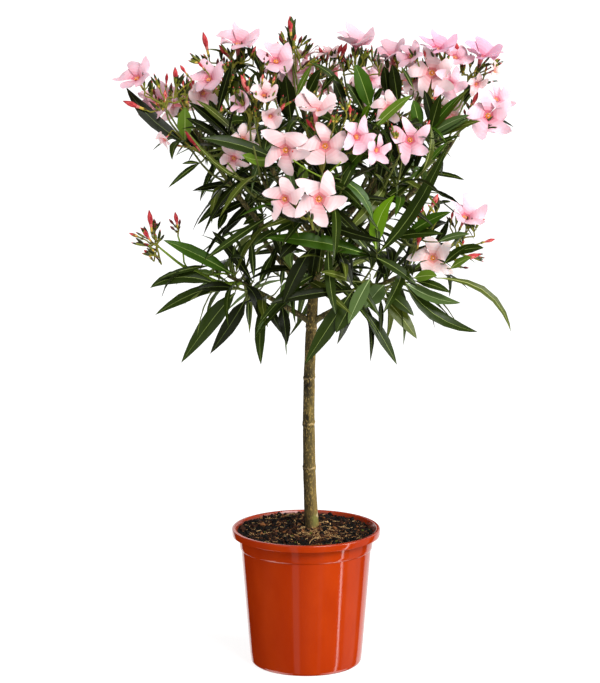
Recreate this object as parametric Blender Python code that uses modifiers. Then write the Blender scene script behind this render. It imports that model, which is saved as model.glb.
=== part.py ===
"""A potted oleander grown as a small standard: a straight clear trunk, and a wide
head of leafy shoots with terminal blossom, in a round plastic nursery pot.

Metres, +Z up. The origin is the centre of the pot's flat underside, and -Y is
the plant's front. The trunk stands on the soil, the boughs spring from the
trunk's upper nodes, and each one ends where it enters its mass of foliage.
"""

import math

import bmesh
import bpy
from mathutils import Vector, noise

# ---- fits ----
GAP = 0.0003  # between two pieces that touch
MERGE = 0.00005  # Screw and weld distance

# ---- pot ----
POT_HEIGHT = 0.196
POT_FOOT_RADIUS = 0.0790
POT_SHOULDER_RADIUS = 0.0922  # under the step below the collar
POT_COLLAR_RADIUS = 0.0955
POT_RIM_RADIUS = 0.1050
POT_WALL = 0.0018
POT_FLOOR = 0.0022
POT_FOOT_ROUNDING = 0.005
STEP_HEIGHT = 0.167
COLLAR_STEP = 0.0016
LIP_DEPTH = 0.0095
LIP_INNER_RADIUS = 0.0995  # the wall flares out to this at its top
FLARE_HEIGHT = 0.1845  # where the flare starts
LIP_ROUNDING = 0.0018
POT_SEGMENTS = 36
DRAIN_HOLES = 6
DRAIN_RADIUS = 0.0045
DRAIN_CIRCLE = 0.058

# ---- soil ----
SOIL_EDGE_HEIGHT = 0.1865
SOIL_CENTRE_HEIGHT = 0.1945
SOIL_FLAT_RADIUS = 0.021  # level ground round the trunk's foot
SOIL_RINGS = 4
SOIL_ROUGHNESS = 0.0012
SOIL_DOME = 0.8  # below 1 the ground falls away fastest near the trunk

# ---- trunk: height above the underside, sideways place, radius ----
TRUNK_LINE = (
    (SOIL_CENTRE_HEIGHT + GAP, 0.0080, 0.0108),
    (0.201, 0.0080, 0.0099),
    (0.235, 0.0062, 0.0092),
    (0.282, 0.0047, 0.0089),
    (0.347, 0.0038, 0.0084),
    (0.412, 0.0044, 0.0079),
    (0.460, 0.0062, 0.0077),
    (0.503, 0.0085, 0.0075),
    (0.560, 0.0118, 0.0069),
    (0.600, 0.0144, 0.0063),
    (0.632, 0.0166, 0.0056),
    (0.640, 0.0166, 0.0054),
)
TRUNK_BEVEL = 4  # 12 sides
BOUGH_BEVEL = 2  # 8 sides
BOUGH_STEPS = 5
BOUGH_BASE_RADIUS = 0.0043
BOUGH_TIP_RADIUS = 0.0024
BOUGH_REACH = 0.45  # where a bough's guide point lies along its run
BOUGH_RISE = 0.22  # and how far up its climb, so that boughs go out and then up

# Heights of the trunk's upper nodes, each with its ring of boughs.
NODE_HEIGHTS = {
    "first": 0.503,
    "second": 0.534,
    "third": 0.563,
    "fourth": 0.587,
    "between": 0.599,
    "fifth": 0.612,
}

# ---- foliage: node of its bough, centre, half length and half width, and the tips it reaches ----
MASSES = {
    "low_left": (
        "first", (-0.108, -0.030, 0.562), (0.090, 0.062),
        ((-0.243, -0.030, 0.634), (-0.172, -0.035, 0.648), (-0.212, -0.040, 0.511),
         (-0.172, -0.060, 0.446), (-0.066, -0.030, 0.452)),
    ),
    "low_right": (
        "first", (0.130, -0.046, 0.565), (0.092, 0.062),
        ((0.266, -0.050, 0.600), (0.278, -0.095, 0.500), (0.226, -0.050, 0.650),
         (0.226, -0.070, 0.496), (0.126, -0.080, 0.448)),
    ),
    "low_back": (
        "first", (0.005, 0.112, 0.580), (0.092, 0.080),
        ((-0.085, 0.170, 0.480), (0.100, 0.185, 0.485), (0.010, 0.222, 0.600)),
    ),
    "low_front": (
        "second", (0.018, -0.086, 0.574), (0.072, 0.066),
        ((0.000, -0.120, 0.456), (-0.062, -0.140, 0.505), (0.082, -0.165, 0.505)),
    ),
    "mid_left": (
        "second", (-0.098, 0.042, 0.664), (0.086, 0.052),
        ((-0.206, 0.070, 0.668), (-0.170, 0.020, 0.640), (-0.150, 0.120, 0.640)),
    ),
    "mid_right": (
        "second", (0.115, 0.042, 0.668), (0.086, 0.052),
        ((0.222, 0.055, 0.690), (0.178, 0.120, 0.650), (0.200, -0.010, 0.720)),
    ),
    "far_left": (
        "third", (-0.152, -0.028, 0.764), (0.092, 0.058),
        ((-0.262, -0.030, 0.834), (-0.190, -0.040, 0.852), (-0.250, -0.045, 0.795)),
    ),
    "far_right": (
        "third", (0.202, -0.022, 0.748), (0.084, 0.056),
        ((0.284, -0.020, 0.789), (0.262, -0.030, 0.735), (0.236, 0.030, 0.800)),
    ),
    "back_top": (
        "third", (0.004, 0.110, 0.772), (0.106, 0.062),
        ((0.000, 0.226, 0.810), (0.014, 0.150, 0.898)),
    ),
    "front_left": (
        "fourth", (-0.074, -0.096, 0.738), (0.090, 0.062),
        ((-0.125, -0.155, 0.712), (-0.070, -0.130, 0.838), (-0.070, -0.196, 0.770)),
    ),
    "front_right": (
        "fourth", (0.114, -0.096, 0.726), (0.090, 0.060),
        ((0.190, -0.125, 0.712), (0.122, -0.190, 0.760), (0.128, -0.120, 0.815)),
    ),
    "back_left": (
        "fourth", (-0.106, 0.114, 0.744), (0.100, 0.070),
        ((-0.214, 0.140, 0.792), (-0.130, 0.220, 0.762), (-0.122, 0.150, 0.868)),
    ),
    "back_right": (
        "fourth", (0.116, 0.114, 0.744), (0.100, 0.070),
        ((0.222, 0.140, 0.785), (0.134, 0.222, 0.752), (0.116, 0.150, 0.874)),
    ),
    "right_shoulder": (
        "between", (0.158, 0.018, 0.804), (0.092, 0.054),
        ((0.172, -0.015, 0.888), (0.258, 0.030, 0.876)),
    ),
    "left_top": (
        "fifth", (-0.086, 0.014, 0.796), (0.094, 0.056),
        ((-0.096, 0.030, 0.896), (-0.144, 0.015, 0.876)),
    ),
    "right_top": (
        "fifth", (0.078, 0.014, 0.798), (0.100, 0.054),
        ((0.070, 0.000, 0.902), (0.118, 0.035, 0.886)),
    ),
    "front": (
        "fifth", (0.022, -0.102, 0.692), (0.090, 0.066),
        ((-0.040, -0.175, 0.672), (0.020, -0.214, 0.700), (0.024, -0.150, 0.786)),
    ),
    "centre_top": (
        "leader", (-0.004, 0.004, 0.788), (0.106, 0.058),
        ((-0.022, 0.020, 0.924), (-0.050, 0.000, 0.874)),
    ),
}
MASS_DETAIL = 3  # icosphere subdivisions
MASS_UNEVENNESS = 0.22  # share of the radius
MASS_LUMP = 2.6  # lumps across a mass
TIP_SPREAD = math.radians(17)

# ---- materials: base colour, roughness, metallic ----
FINISHES = {
    "pot_plastic": ((0.46, 0.048, 0.008), 0.28, 0.0),
    "compost": ((0.025, 0.014, 0.008), 0.95, 0.0),
    "bark": ((0.16, 0.12, 0.05), 0.75, 0.0),
    "leaf": ((0.035, 0.065, 0.014), 0.45, 0.0),
}


def clear_scene():
    for obj in list(bpy.data.objects):
        bpy.data.objects.remove(obj)


def new_collection(name, hidden=False):
    collection = bpy.data.collections.new(name)
    collection.hide_render = hidden
    bpy.context.scene.collection.children.link(collection)
    return collection


def make_material(name):
    colour, roughness, metallic = FINISHES[name]
    material = bpy.data.materials.new(name)
    material.use_nodes = True
    shader = material.node_tree.nodes["Principled BSDF"]
    shader.inputs["Base Color"].default_value = (*colour, 1.0)
    shader.inputs["Roughness"].default_value = roughness
    shader.inputs["Metallic"].default_value = metallic
    return material


def add_mesh_object(name, mesh, collection, material=None):
    obj = bpy.data.objects.new(name, mesh)
    collection.objects.link(obj)
    if material:
        mesh.materials.append(material)
    return obj


def mesh_from_bmesh(name, bm):
    mesh = bpy.data.meshes.new(name)
    bm.to_mesh(mesh)
    bm.free()
    mesh.update()
    return mesh


def make_cutter(obj):
    obj.hide_render = True
    obj.display_type = "WIRE"
    return obj


def subtract(obj, cutter):
    modifier = obj.modifiers.new("minus_" + cutter.name, "BOOLEAN")
    modifier.operation = "DIFFERENCE"
    modifier.object = cutter


def arc(centre, radius, start_degrees, end_degrees, steps):
    """Points of an arc in the profile plane, as (radius, height)."""
    points = []
    for i in range(steps + 1):
        angle = math.radians(start_degrees + (end_degrees - start_degrees) * i / steps)
        points.append((centre[0] + radius * math.cos(angle), centre[1] + radius * math.sin(angle)))
    return points


# ---- pot and soil ----


def body_radius(height):
    """The pot's outer radius between its foot and its step."""
    return POT_FOOT_RADIUS + (POT_SHOULDER_RADIUS - POT_FOOT_RADIUS) * height / STEP_HEIGHT


def pot_profile():
    """The wall from the inside of the floor, up, over the lip and down to the foot."""
    step_radius = POT_SHOULDER_RADIUS + COLLAR_STEP
    lip_under = POT_HEIGHT - POT_WALL
    lip_end = POT_HEIGHT - LIP_DEPTH
    inside = [
        (0.0, POT_FLOOR),
        (body_radius(0) - POT_WALL - POT_FOOT_ROUNDING, POT_FLOOR),
        (body_radius(POT_FOOT_ROUNDING) - POT_WALL, POT_FLOOR + POT_FOOT_ROUNDING),
        (POT_SHOULDER_RADIUS - POT_WALL, STEP_HEIGHT),
        (step_radius - POT_WALL, STEP_HEIGHT + POT_WALL),
        (POT_COLLAR_RADIUS - POT_WALL, FLARE_HEIGHT),
        (LIP_INNER_RADIUS - POT_WALL / 2, POT_HEIGHT - LIP_ROUNDING),
        (LIP_INNER_RADIUS, POT_HEIGHT),
    ]
    lip_centre = (POT_RIM_RADIUS - LIP_ROUNDING, POT_HEIGHT - LIP_ROUNDING)
    lip = arc(lip_centre, LIP_ROUNDING, 90, 0, 2)
    outside = [
        (POT_RIM_RADIUS - POT_WALL / 6, lip_end),
        (POT_RIM_RADIUS - POT_WALL, lip_end),
        (POT_RIM_RADIUS - POT_WALL, lip_under),
        (LIP_INNER_RADIUS + POT_WALL / 2, lip_under),
        (POT_COLLAR_RADIUS, FLARE_HEIGHT - POT_WALL / 2),
        (step_radius, STEP_HEIGHT + POT_WALL / 2),
        (POT_SHOULDER_RADIUS, STEP_HEIGHT),
    ]
    foot_centre = (body_radius(0) - POT_FOOT_ROUNDING, POT_FOOT_ROUNDING)
    foot = arc(foot_centre, POT_FOOT_ROUNDING, 0, -90, 2)
    return inside + lip + outside + foot + [(0.0, 0.0)]


def make_pot(collection, cutters, material):
    bm = bmesh.new()
    corners = [bm.verts.new((radius, 0.0, height)) for radius, height in pot_profile()]
    for start, end in zip(corners, corners[1:]):
        bm.edges.new((start, end))
    pot = add_mesh_object("pot", mesh_from_bmesh("pot", bm), collection, material)
    screw = pot.modifiers.new("turn", "SCREW")
    screw.steps = POT_SEGMENTS
    screw.render_steps = POT_SEGMENTS
    screw.use_merge_vertices = True
    screw.merge_threshold = MERGE
    screw.use_smooth_shade = True

    for i in range(DRAIN_HOLES):
        angle = 2 * math.pi * (i + 0.5) / DRAIN_HOLES
        bm = bmesh.new()
        bmesh.ops.create_cone(
            bm, cap_ends=True, segments=8, radius1=DRAIN_RADIUS, radius2=DRAIN_RADIUS,
            depth=6 * POT_FLOOR,
        )
        hole = add_mesh_object(f"drain_cutter_{i}", mesh_from_bmesh("drain", bm), cutters)
        hole.location = (DRAIN_CIRCLE * math.cos(angle), DRAIN_CIRCLE * math.sin(angle), 0.0)
        subtract(pot, make_cutter(hole))
    return pot


def soil_height(x, y):
    """The soil's surface: domed up to the trunk, level round its foot, lumpy elsewhere."""
    edge = POT_COLLAR_RADIUS - POT_WALL
    out = (math.hypot(x, y) - SOIL_FLAT_RADIUS) / (edge - SOIL_FLAT_RADIUS)
    if out <= 0:
        return SOIL_CENTRE_HEIGHT
    lump = noise.noise(Vector((x, y, 0.0)) * 60.0) * SOIL_ROUGHNESS * min(1.0, 4 * out)
    return SOIL_CENTRE_HEIGHT + (SOIL_EDGE_HEIGHT - SOIL_CENTRE_HEIGHT) * min(1.0, out) ** SOIL_DOME + lump


def make_soil(collection, material):
    bottom = POT_FLOOR + GAP
    depth = SOIL_EDGE_HEIGHT - bottom
    bottom_radius = body_radius(0) - POT_WALL - POT_FOOT_ROUNDING - GAP
    wall_base = POT_FLOOR + POT_FOOT_ROUNDING
    bm = bmesh.new()
    bmesh.ops.create_cone(
        bm, cap_ends=True, segments=POT_SEGMENTS, depth=depth,
        radius1=body_radius(wall_base) - POT_WALL - 2 * GAP,
        radius2=body_radius(SOIL_EDGE_HEIGHT) - POT_WALL - 2 * GAP,
    )
    bmesh.ops.translate(bm, verts=bm.verts, vec=(0, 0, bottom + depth / 2))

    # The bottom edge is chamfered to clear the pot's inner corner.
    floor = min(bm.faces, key=lambda face: face.calc_center_median().z)
    rim = floor.verts[:]
    bmesh.ops.inset_individual(bm, faces=[floor], thickness=rim[0].co.xy.length - bottom_radius)
    for vert in rim:
        vert.co.z += POT_FOOT_ROUNDING + GAP

    # The top is inset ring by ring, then raised to the soil's surface.
    top = max(bm.faces, key=lambda face: face.calc_center_median().z)
    outer = top.verts[0].co.xy.length
    step = (outer - SOIL_FLAT_RADIUS * 0.95) / SOIL_RINGS / math.cos(math.pi / POT_SEGMENTS)
    for _ in range(SOIL_RINGS):
        bmesh.ops.inset_individual(bm, faces=[top], thickness=step)
    for vert in bm.verts:
        if vert.co.z > SOIL_EDGE_HEIGHT - GAP:
            vert.co.z = soil_height(vert.co.x, vert.co.y)
    soil = add_mesh_object("soil", mesh_from_bmesh("soil", bm), collection, material)
    return soil


# ---- trunk and boughs ----


def trunk_at(height):
    """(place, radius) of the trunk's centre at a height, between two points of its line."""
    for low, high in zip(TRUNK_LINE, TRUNK_LINE[1:]):
        if height <= high[0]:
            share = (height - low[0]) / (high[0] - low[0])
            x = low[1] + (high[1] - low[1]) * share
            return Vector((x, 0.0, height)), low[2] + (high[2] - low[2]) * share
    return Vector((TRUNK_LINE[-1][1], 0.0, TRUNK_LINE[-1][0])), TRUNK_LINE[-1][2]


def tube(name, points, radii, bevel, collection, material=None):
    """A round, tapering tube along the points, as one closed mesh with flat ends."""
    curve = bpy.data.curves.new(name, "CURVE")
    curve.dimensions = "3D"
    curve.bevel_depth = 1.0
    curve.bevel_resolution = bevel
    curve.use_fill_caps = True
    spline = curve.splines.new("POLY")
    spline.points.add(len(points) - 1)
    for spot, place, radius in zip(spline.points, points, radii):
        spot.co = (*place, 1.0)
        spot.radius = radius
    guide = bpy.data.objects.new(name + "_line", curve)
    collection.objects.link(guide)
    graph = bpy.context.evaluated_depsgraph_get()
    mesh = bpy.data.meshes.new_from_object(guide.evaluated_get(graph))
    matrix = guide.matrix_world.copy()
    bpy.data.objects.remove(guide)
    bm = bmesh.new()
    bm.from_mesh(mesh)
    bmesh.ops.remove_doubles(bm, verts=bm.verts, dist=MERGE)
    bm.to_mesh(mesh)
    bm.free()
    mesh.name = name
    mesh.shade_smooth()
    mesh.materials.clear()
    obj = add_mesh_object(name, mesh, collection, material)
    obj.matrix_world = matrix
    return obj


def make_trunk(collection, cutters, material):
    """The trunk, and the slightly thicker copy of it that its neighbours are cut by."""
    points = [(x, 0.0, height) for height, x, _ in TRUNK_LINE]
    radii = [radius for _, _, radius in TRUNK_LINE]
    trunk = tube("trunk", points, radii, TRUNK_BEVEL, collection, material)
    wider = [radius + GAP for radius in radii]
    cutter = tube("trunk_cutter", points, wider, TRUNK_BEVEL, cutters)
    return trunk, make_cutter(cutter)


def bough_start(node):
    if node == "leader":
        return Vector((TRUNK_LINE[-1][1], 0.0, TRUNK_LINE[-1][0] + GAP))
    return trunk_at(NODE_HEIGHTS[node])[0]


def bough_path(node, end):
    """Points from the trunk to the middle of a mass: out first, and then up."""
    start = bough_start(node)
    run = end - start
    if node == "leader":
        guide = start + Vector((0.0, 0.0, run.z * 0.5))
    else:
        guide = start + Vector((run.x * BOUGH_REACH, run.y * BOUGH_REACH, run.z * BOUGH_RISE))
    points = []
    for i in range(BOUGH_STEPS + 1):
        t = i / BOUGH_STEPS
        points.append(start * (1 - t) ** 2 + guide * 2 * t * (1 - t) + end * t**2)
    return points


def bough_radii(node):
    thick = BOUGH_BASE_RADIUS if node != "leader" else TRUNK_LINE[-1][2] - GAP
    return [
        thick + (BOUGH_TIP_RADIUS - thick) * i / BOUGH_STEPS for i in range(BOUGH_STEPS + 1)
    ]


# ---- foliage ----


def mass_axis(name):
    """The way a mass lies: on from its bough, outward and up."""
    node, centre, _, _ = MASSES[name]
    return (Vector(centre) - bough_start(node)).normalized()


def ellipsoid_reach(name, direction):
    """How far a mass's plain ellipsoid reaches along a direction."""
    length, width = MASSES[name][2]
    along = direction.dot(mass_axis(name))
    across = math.sqrt(max(0.0, 1.0 - along**2))
    return 1.0 / math.hypot(along / length, across / width)


def neighbour_planes(name):
    """Planes that part a mass from the others, as (normal, distance from its centre)."""
    centre = Vector(MASSES[name][1])
    planes = []
    for other in MASSES:
        if other == name:
            continue
        way = Vector(MASSES[other][1]) - centre
        distance = way.length
        way.normalize()
        own = ellipsoid_reach(name, way)
        share = own / (own + ellipsoid_reach(other, way))
        planes.append((way, distance * share - GAP / 2))
    return planes


def mass_surface(name, seed):
    """A function that gives the reach of a mass along a direction from its centre."""
    _, centre, _, tips = MASSES[name]
    centre = Vector(centre)
    planes = neighbour_planes(name)
    spurs = [(Vector(tip) - centre) for tip in tips]

    def reach(direction):
        lump = noise.noise(direction * MASS_LUMP + Vector((seed * 7.3, 0.0, 0.0)))
        length = ellipsoid_reach(name, direction) * (1 + MASS_UNEVENNESS * lump)
        for spur in spurs:
            angle = direction.angle(spur)
            length += max(0.0, spur.length - length) * math.exp(-((angle / TIP_SPREAD) ** 2))
        for normal, distance in planes:
            facing = direction.dot(normal)
            if facing > 0:
                length = min(length, distance / facing)
        return length

    return reach


def make_mass(role, name, seed, collection, material, grow=0.0):
    """One uneven lump of foliage, whose nearest corners are drawn out to its tips."""
    _, centre, _, tips = MASSES[name]
    reach = mass_surface(name, seed)
    bm = bmesh.new()
    bmesh.ops.create_icosphere(bm, subdivisions=MASS_DETAIL, radius=1.0)
    for tip in tips:
        way = (Vector(tip) - Vector(centre)).normalized()
        nearest = max(bm.verts, key=lambda vert: vert.co.dot(way))
        nearest.co = way
    for vert in bm.verts:
        direction = vert.co.normalized()
        vert.co = Vector(centre) + direction * (reach(direction) + grow)
    mesh = mesh_from_bmesh(name, bm)
    mesh.shade_smooth()
    return add_mesh_object(f"{role}_{name}", mesh, collection, material)


def boxes_meet(first, second, margin=0.002):
    for axis in range(3):
        a = [(first.matrix_world @ vert.co)[axis] for vert in first.data.vertices]
        b = [(second.matrix_world @ vert.co)[axis] for vert in second.data.vertices]
        if min(a) > max(b) + margin or min(b) > max(a) + margin:
            return False
    return True


def make_crown(plant, cutters, trunk_cutter, bark, leaf):
    """Each mass, and the bough from the trunk that carries it."""
    boughs, clearances, masses = {}, {}, {}
    for seed, (name, (node, centre, _, _)) in enumerate(MASSES.items()):
        points = bough_path(node, Vector(centre))
        radii = bough_radii(node)
        boughs[name] = tube("bough_" + name, points, radii, BOUGH_BEVEL, plant, bark)
        wider = [radius + GAP for radius in radii]
        clearance = tube("clearance_" + name, points, wider, BOUGH_BEVEL, cutters)
        clearances[name] = make_cutter(clearance)
        masses[name] = make_mass("foliage", name, seed, plant, leaf)
        socket = make_mass("socket", name, seed, cutters, None, grow=GAP)
        if node != "leader":
            subtract(boughs[name], trunk_cutter)
        subtract(boughs[name], make_cutter(socket))
    for name, mass in masses.items():
        if boxes_meet(mass, trunk_cutter):
            subtract(mass, trunk_cutter)
        for other, clearance in clearances.items():
            if other != name and boxes_meet(mass, clearance):
                subtract(mass, clearance)


def main():
    clear_scene()
    plant = new_collection("potted_oleander")
    cutters = new_collection("cutters", hidden=True)
    materials = {name: make_material(name) for name in FINISHES}
    make_pot(plant, cutters, materials["pot_plastic"])
    make_soil(plant, materials["compost"])
    _, trunk_cutter = make_trunk(plant, cutters, materials["bark"])
    make_crown(plant, cutters, trunk_cutter, materials["bark"], materials["leaf"])


main()
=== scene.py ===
import itertools
import math
import random

import bpy
import numpy as np
from mathutils import Matrix, Vector, noise
from mathutils.bvhtree import BVHTree


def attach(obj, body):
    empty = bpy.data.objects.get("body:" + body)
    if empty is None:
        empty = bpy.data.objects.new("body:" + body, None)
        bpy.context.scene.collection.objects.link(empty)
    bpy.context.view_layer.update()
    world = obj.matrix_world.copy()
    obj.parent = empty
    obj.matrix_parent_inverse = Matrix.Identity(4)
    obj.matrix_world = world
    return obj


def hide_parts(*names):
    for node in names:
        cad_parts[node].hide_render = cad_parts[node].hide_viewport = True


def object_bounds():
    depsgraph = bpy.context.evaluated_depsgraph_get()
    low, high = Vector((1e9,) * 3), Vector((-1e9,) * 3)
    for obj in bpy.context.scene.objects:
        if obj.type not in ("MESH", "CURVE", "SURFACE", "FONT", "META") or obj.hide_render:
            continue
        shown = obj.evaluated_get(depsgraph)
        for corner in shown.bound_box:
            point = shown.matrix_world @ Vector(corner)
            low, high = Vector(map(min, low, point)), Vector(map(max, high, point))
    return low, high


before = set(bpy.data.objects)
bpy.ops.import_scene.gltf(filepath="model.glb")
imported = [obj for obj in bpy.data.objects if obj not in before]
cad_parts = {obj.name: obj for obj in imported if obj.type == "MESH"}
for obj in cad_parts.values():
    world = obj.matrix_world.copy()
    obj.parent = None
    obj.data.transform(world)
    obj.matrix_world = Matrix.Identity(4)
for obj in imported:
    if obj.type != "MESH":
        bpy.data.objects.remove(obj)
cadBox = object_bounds()
up = np.array((0.0, 0.0, 1.0))

# the studio: camera, floor and lights
studio = {
    "lens": 137.8,
    "sensor": 36,                       # mm on the picture's long side
    "cameraPlace": (-0.0085, -3.6, 1.126),
    "cameraDown": 10.42,                # degrees below level
    "picture": (600, 683),              # pixels that the camera frames
    "sky": (0.84, 0.83, 0.82),
    "skyStrength": 0.48,
    # kind, place, height that it is aimed at, power, size (for the sun, degrees across), colour
    "lights": {
        "keyLight": ("SUN", (1.5, -2.4, 3.2), 0.5, 2.6, 24, (1, 1, 1)),
        "sideRight": ("AREA", (2.6, -0.9, 1.1), 0.5, 52, (0.9, 1.6), (1.0, 0.99, 0.94)),
        "fillLeft": ("AREA", (-1.6, -2.2, 2.2), 0.8, 9, (1.4, 1.4), (1, 1, 1)),
    },
    "floorSize": 70.0,
    "floorHeight": -0.0004,
    "floorColour": (0.30, 0.30, 0.30),
    "floorGlow": 0.87,
    # pale upright cards that show only as reflections: bearing from the front, distance, width, glow
    "cardHeight": 5.0,
    "cards": {
        "right": (67, 2.4, 0.16, 6.0),
        "left": (-19, 2.5, 0.52, 0.38),
        "middle": (27, 2.5, 0.34, 0.12),
        "farRight": (98, 2.6, 1.6, 0.30),
        "backRight": (152, 3.0, 2.2, 1.1),
        "backLeft": (-163, 3.0, 1.7, 1.4),
    },
    # side, height, width and glow of the level cards above and below
    "levelCards": {
        "top": (0, 3.2, 3.0, 0.15),
        "lowLeft": (-0.5, -0.5, 0.55, 3.0),
        "lowRight": (0.5, -0.5, 0.55, 3.0),
    },
}


def linear(colour):
    # screen colour, 0 to 255, as linear light
    shares = [c / 255 for c in colour]
    return [s / 12.92 if s <= 0.04045 else ((s + 0.055) / 1.055) ** 2.4 for s in shares]


def viewFrame():
    # width, height and focal length of the picture in pixels, and the camera's pitch
    wide, high = studio["picture"]
    return wide, high, studio["lens"] / studio["sensor"] * high, math.radians(studio["cameraDown"])


def inView(right, down, behind):
    # the point seen at these pixels of the frame, this far behind the trunk in metres
    wide, high, focal, pitch = viewFrame()
    side = (right - wide / 2) / focal
    drop = (down - high / 2) / focal
    ray = np.array((
        side,
        math.cos(pitch) - drop * math.sin(pitch),
        -math.sin(pitch) - drop * math.cos(pitch),
    ))
    eye = np.array(studio["cameraPlace"])
    return eye + ray * (behind - eye[1]) / ray[1]


def viewPlace(point):
    # the pixels of the frame at which a point is seen
    wide, high, focal, pitch = viewFrame()
    x, y, z = np.asarray(point) - np.array(studio["cameraPlace"])
    ahead = y * math.cos(pitch) - z * math.sin(pitch)
    drop = -y * math.sin(pitch) - z * math.cos(pitch)
    return wide / 2 + focal * x / ahead, high / 2 + focal * drop / ahead


def deselectAll():
    if bpy.context.mode != "OBJECT":
        bpy.ops.object.mode_set(mode="OBJECT")
    bpy.ops.object.select_all(action="DESELECT")


def pickOnly(piece):
    deselectAll()
    piece.select_set(True)
    bpy.context.view_layer.objects.active = piece


def addLight(name, kind, place, aimHeight, power, size, colour):
    data = bpy.data.lights.new(name, kind)
    data.energy = power
    data.color = colour
    if kind == "SUN":
        data.angle = math.radians(size)
    else:
        data.shape = "RECTANGLE"
        data.size, data.size_y = size
    light = bpy.data.objects.new(name, data)
    bpy.context.scene.collection.objects.link(light)
    light.location = place
    aim = Vector((0, 0, aimHeight)) - Vector(place)
    light.rotation_euler = aim.to_track_quat("-Z", "Y").to_euler()
    light.visible_camera = False


def addPlane(name, place, turn, size, glow, gloss=0.0):
    deselectAll()
    bpy.ops.mesh.primitive_plane_add(size=1, location=place, rotation=turn)
    plane = bpy.context.active_object
    plane.name = name
    plane.scale = (*size, 1)
    bpy.ops.object.transform_apply(location=False, rotation=False, scale=True)
    finish = makeFinish(name, (0, 0, 0), 1, gloss)
    shaderOf(finish).inputs["Emission Color"].default_value = (1, 1, 1, 1)
    shaderOf(finish).inputs["Emission Strength"].default_value = glow
    plane.data.materials.append(finish)
    return plane, finish


def addCard(name, place, turn, size, glow):
    card, finish = addPlane(name + "Card", place, turn, size, glow)
    finish.cycles.emission_sampling = "NONE"
    for kind in ("camera", "diffuse", "transmission", "volume_scatter", "shadow"):
        setattr(card, "visible_" + kind, False)


def buildStudio():
    scene = bpy.context.scene
    scene.view_settings.view_transform = "Standard"
    camera = bpy.data.objects.new("camera", bpy.data.cameras.new("camera"))
    scene.collection.objects.link(camera)
    camera.data.lens = studio["lens"]
    camera.data.sensor_width = studio["sensor"]
    camera.data.clip_end = 200
    camera.location = studio["cameraPlace"]
    camera.rotation_euler = (math.radians(90 - studio["cameraDown"]), 0, 0)
    scene.camera = camera

    world = bpy.data.worlds.new("sky")
    world.use_nodes = True
    background = world.node_tree.nodes["Background"]
    background.inputs["Color"].default_value = (*studio["sky"], 1)
    background.inputs["Strength"].default_value = studio["skyStrength"]
    scene.world = world
    world.cycles_visibility.glossy = False
    for name, (bearing, away, wide, glow) in studio["cards"].items():
        turn = math.radians(bearing)
        place = (away * math.sin(turn), -away * math.cos(turn), 0)
        addCard(name, place, (math.pi / 2, 0, turn), (wide, studio["cardHeight"]), glow)
    for name, (side, height, wide, glow) in studio["levelCards"].items():
        addCard(name, (side, -0.1, height), (0, 0, 0), (wide, wide), glow)
    for name, light in studio["lights"].items():
        addLight(name, *light)

    size = (studio["floorSize"], studio["floorSize"])
    floor, finish = addPlane(
        "studioFloor", (0, 0, studio["floorHeight"]), (0, 0, 0), size, studio["floorGlow"], 0.1
    )
    floor.visible_glossy = False
    shaderOf(finish).inputs["Base Color"].default_value = (*studio["floorColour"], 1)
    shaderOf(finish).inputs["Roughness"].default_value = 0.9
    print("studio set:", len(studio["lights"]), "lights")


# what the finishes are made with
def makeFinish(name, colour, roughness, gloss=0.5):
    finish = bpy.data.materials.new(name)
    finish.use_nodes = True
    shader = shaderOf(finish)
    shader.inputs["Base Color"].default_value = (*linear(colour), 1)
    shader.inputs["Roughness"].default_value = roughness
    shader.inputs["Specular IOR Level"].default_value = gloss
    finish.diffuse_color = (*linear(colour), 1)
    return finish


def addNode(finish, kind, **settings):
    node = finish.node_tree.nodes.new(kind)
    for key, value in settings.items():
        setattr(node, key, value)
    return node


def join(finish, source, target):
    finish.node_tree.links.new(source, target)


def shaderOf(finish):
    return finish.node_tree.nodes["Principled BSDF"]


def intoShader(finish, source, name):
    join(finish, source, shaderOf(finish).inputs[name])


def feed(finish, value, socket):
    # another node's output, a number or a screen colour
    if isinstance(value, bpy.types.NodeSocket):
        join(finish, value, socket)
    elif isinstance(value, (int, float)):
        socket.default_value = value
    elif value is not None:
        socket.default_value = (*linear(value), 1)


def objectPlace(finish):
    # the place on the object, whole and split into X, Y and Z
    place = addNode(finish, "ShaderNodeTexCoord").outputs["Object"]
    split = addNode(finish, "ShaderNodeSeparateXYZ")
    join(finish, place, split.inputs[0])
    return place, split.outputs


def patternPlace(finish, stretch):
    place = addNode(finish, "ShaderNodeTexCoord")
    mapping = addNode(finish, "ShaderNodeMapping")
    mapping.inputs["Scale"].default_value = stretch
    join(finish, place.outputs["Object"], mapping.inputs["Vector"])
    return mapping.outputs["Vector"]


def noisePattern(finish, stretch, scale, detail=3.0, rough=0.55):
    pattern = addNode(finish, "ShaderNodeTexNoise")
    pattern.inputs["Scale"].default_value = scale
    pattern.inputs["Detail"].default_value = detail
    pattern.inputs["Roughness"].default_value = rough
    join(finish, patternPlace(finish, stretch), pattern.inputs["Vector"])
    return pattern.outputs["Fac"]


def ramp(finish, source, stops):
    # stops are (share, screen colour)
    node = addNode(finish, "ShaderNodeValToRGB")
    elements = node.color_ramp.elements
    while len(elements) < len(stops):
        elements.new(0.5)
    for element, (share, colour) in zip(elements, stops):
        element.position = share
        element.color = (*linear(colour), 1)
    join(finish, source, node.inputs["Fac"])
    return node.outputs["Color"]


def blendColours(finish, share, first, second):
    node = addNode(finish, "ShaderNodeMix", data_type="RGBA")
    for value, number in ((share, 0), (first, 6), (second, 7)):
        feed(finish, value, node.inputs[number])
    return node.outputs[2]


def rangeOf(finish, source, fromLow, fromHigh, low, high):
    node = addNode(finish, "ShaderNodeMapRange")
    for number, value in enumerate((source, fromLow, fromHigh, low, high)):
        feed(finish, value, node.inputs[number])
    return node.outputs["Result"]


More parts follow.
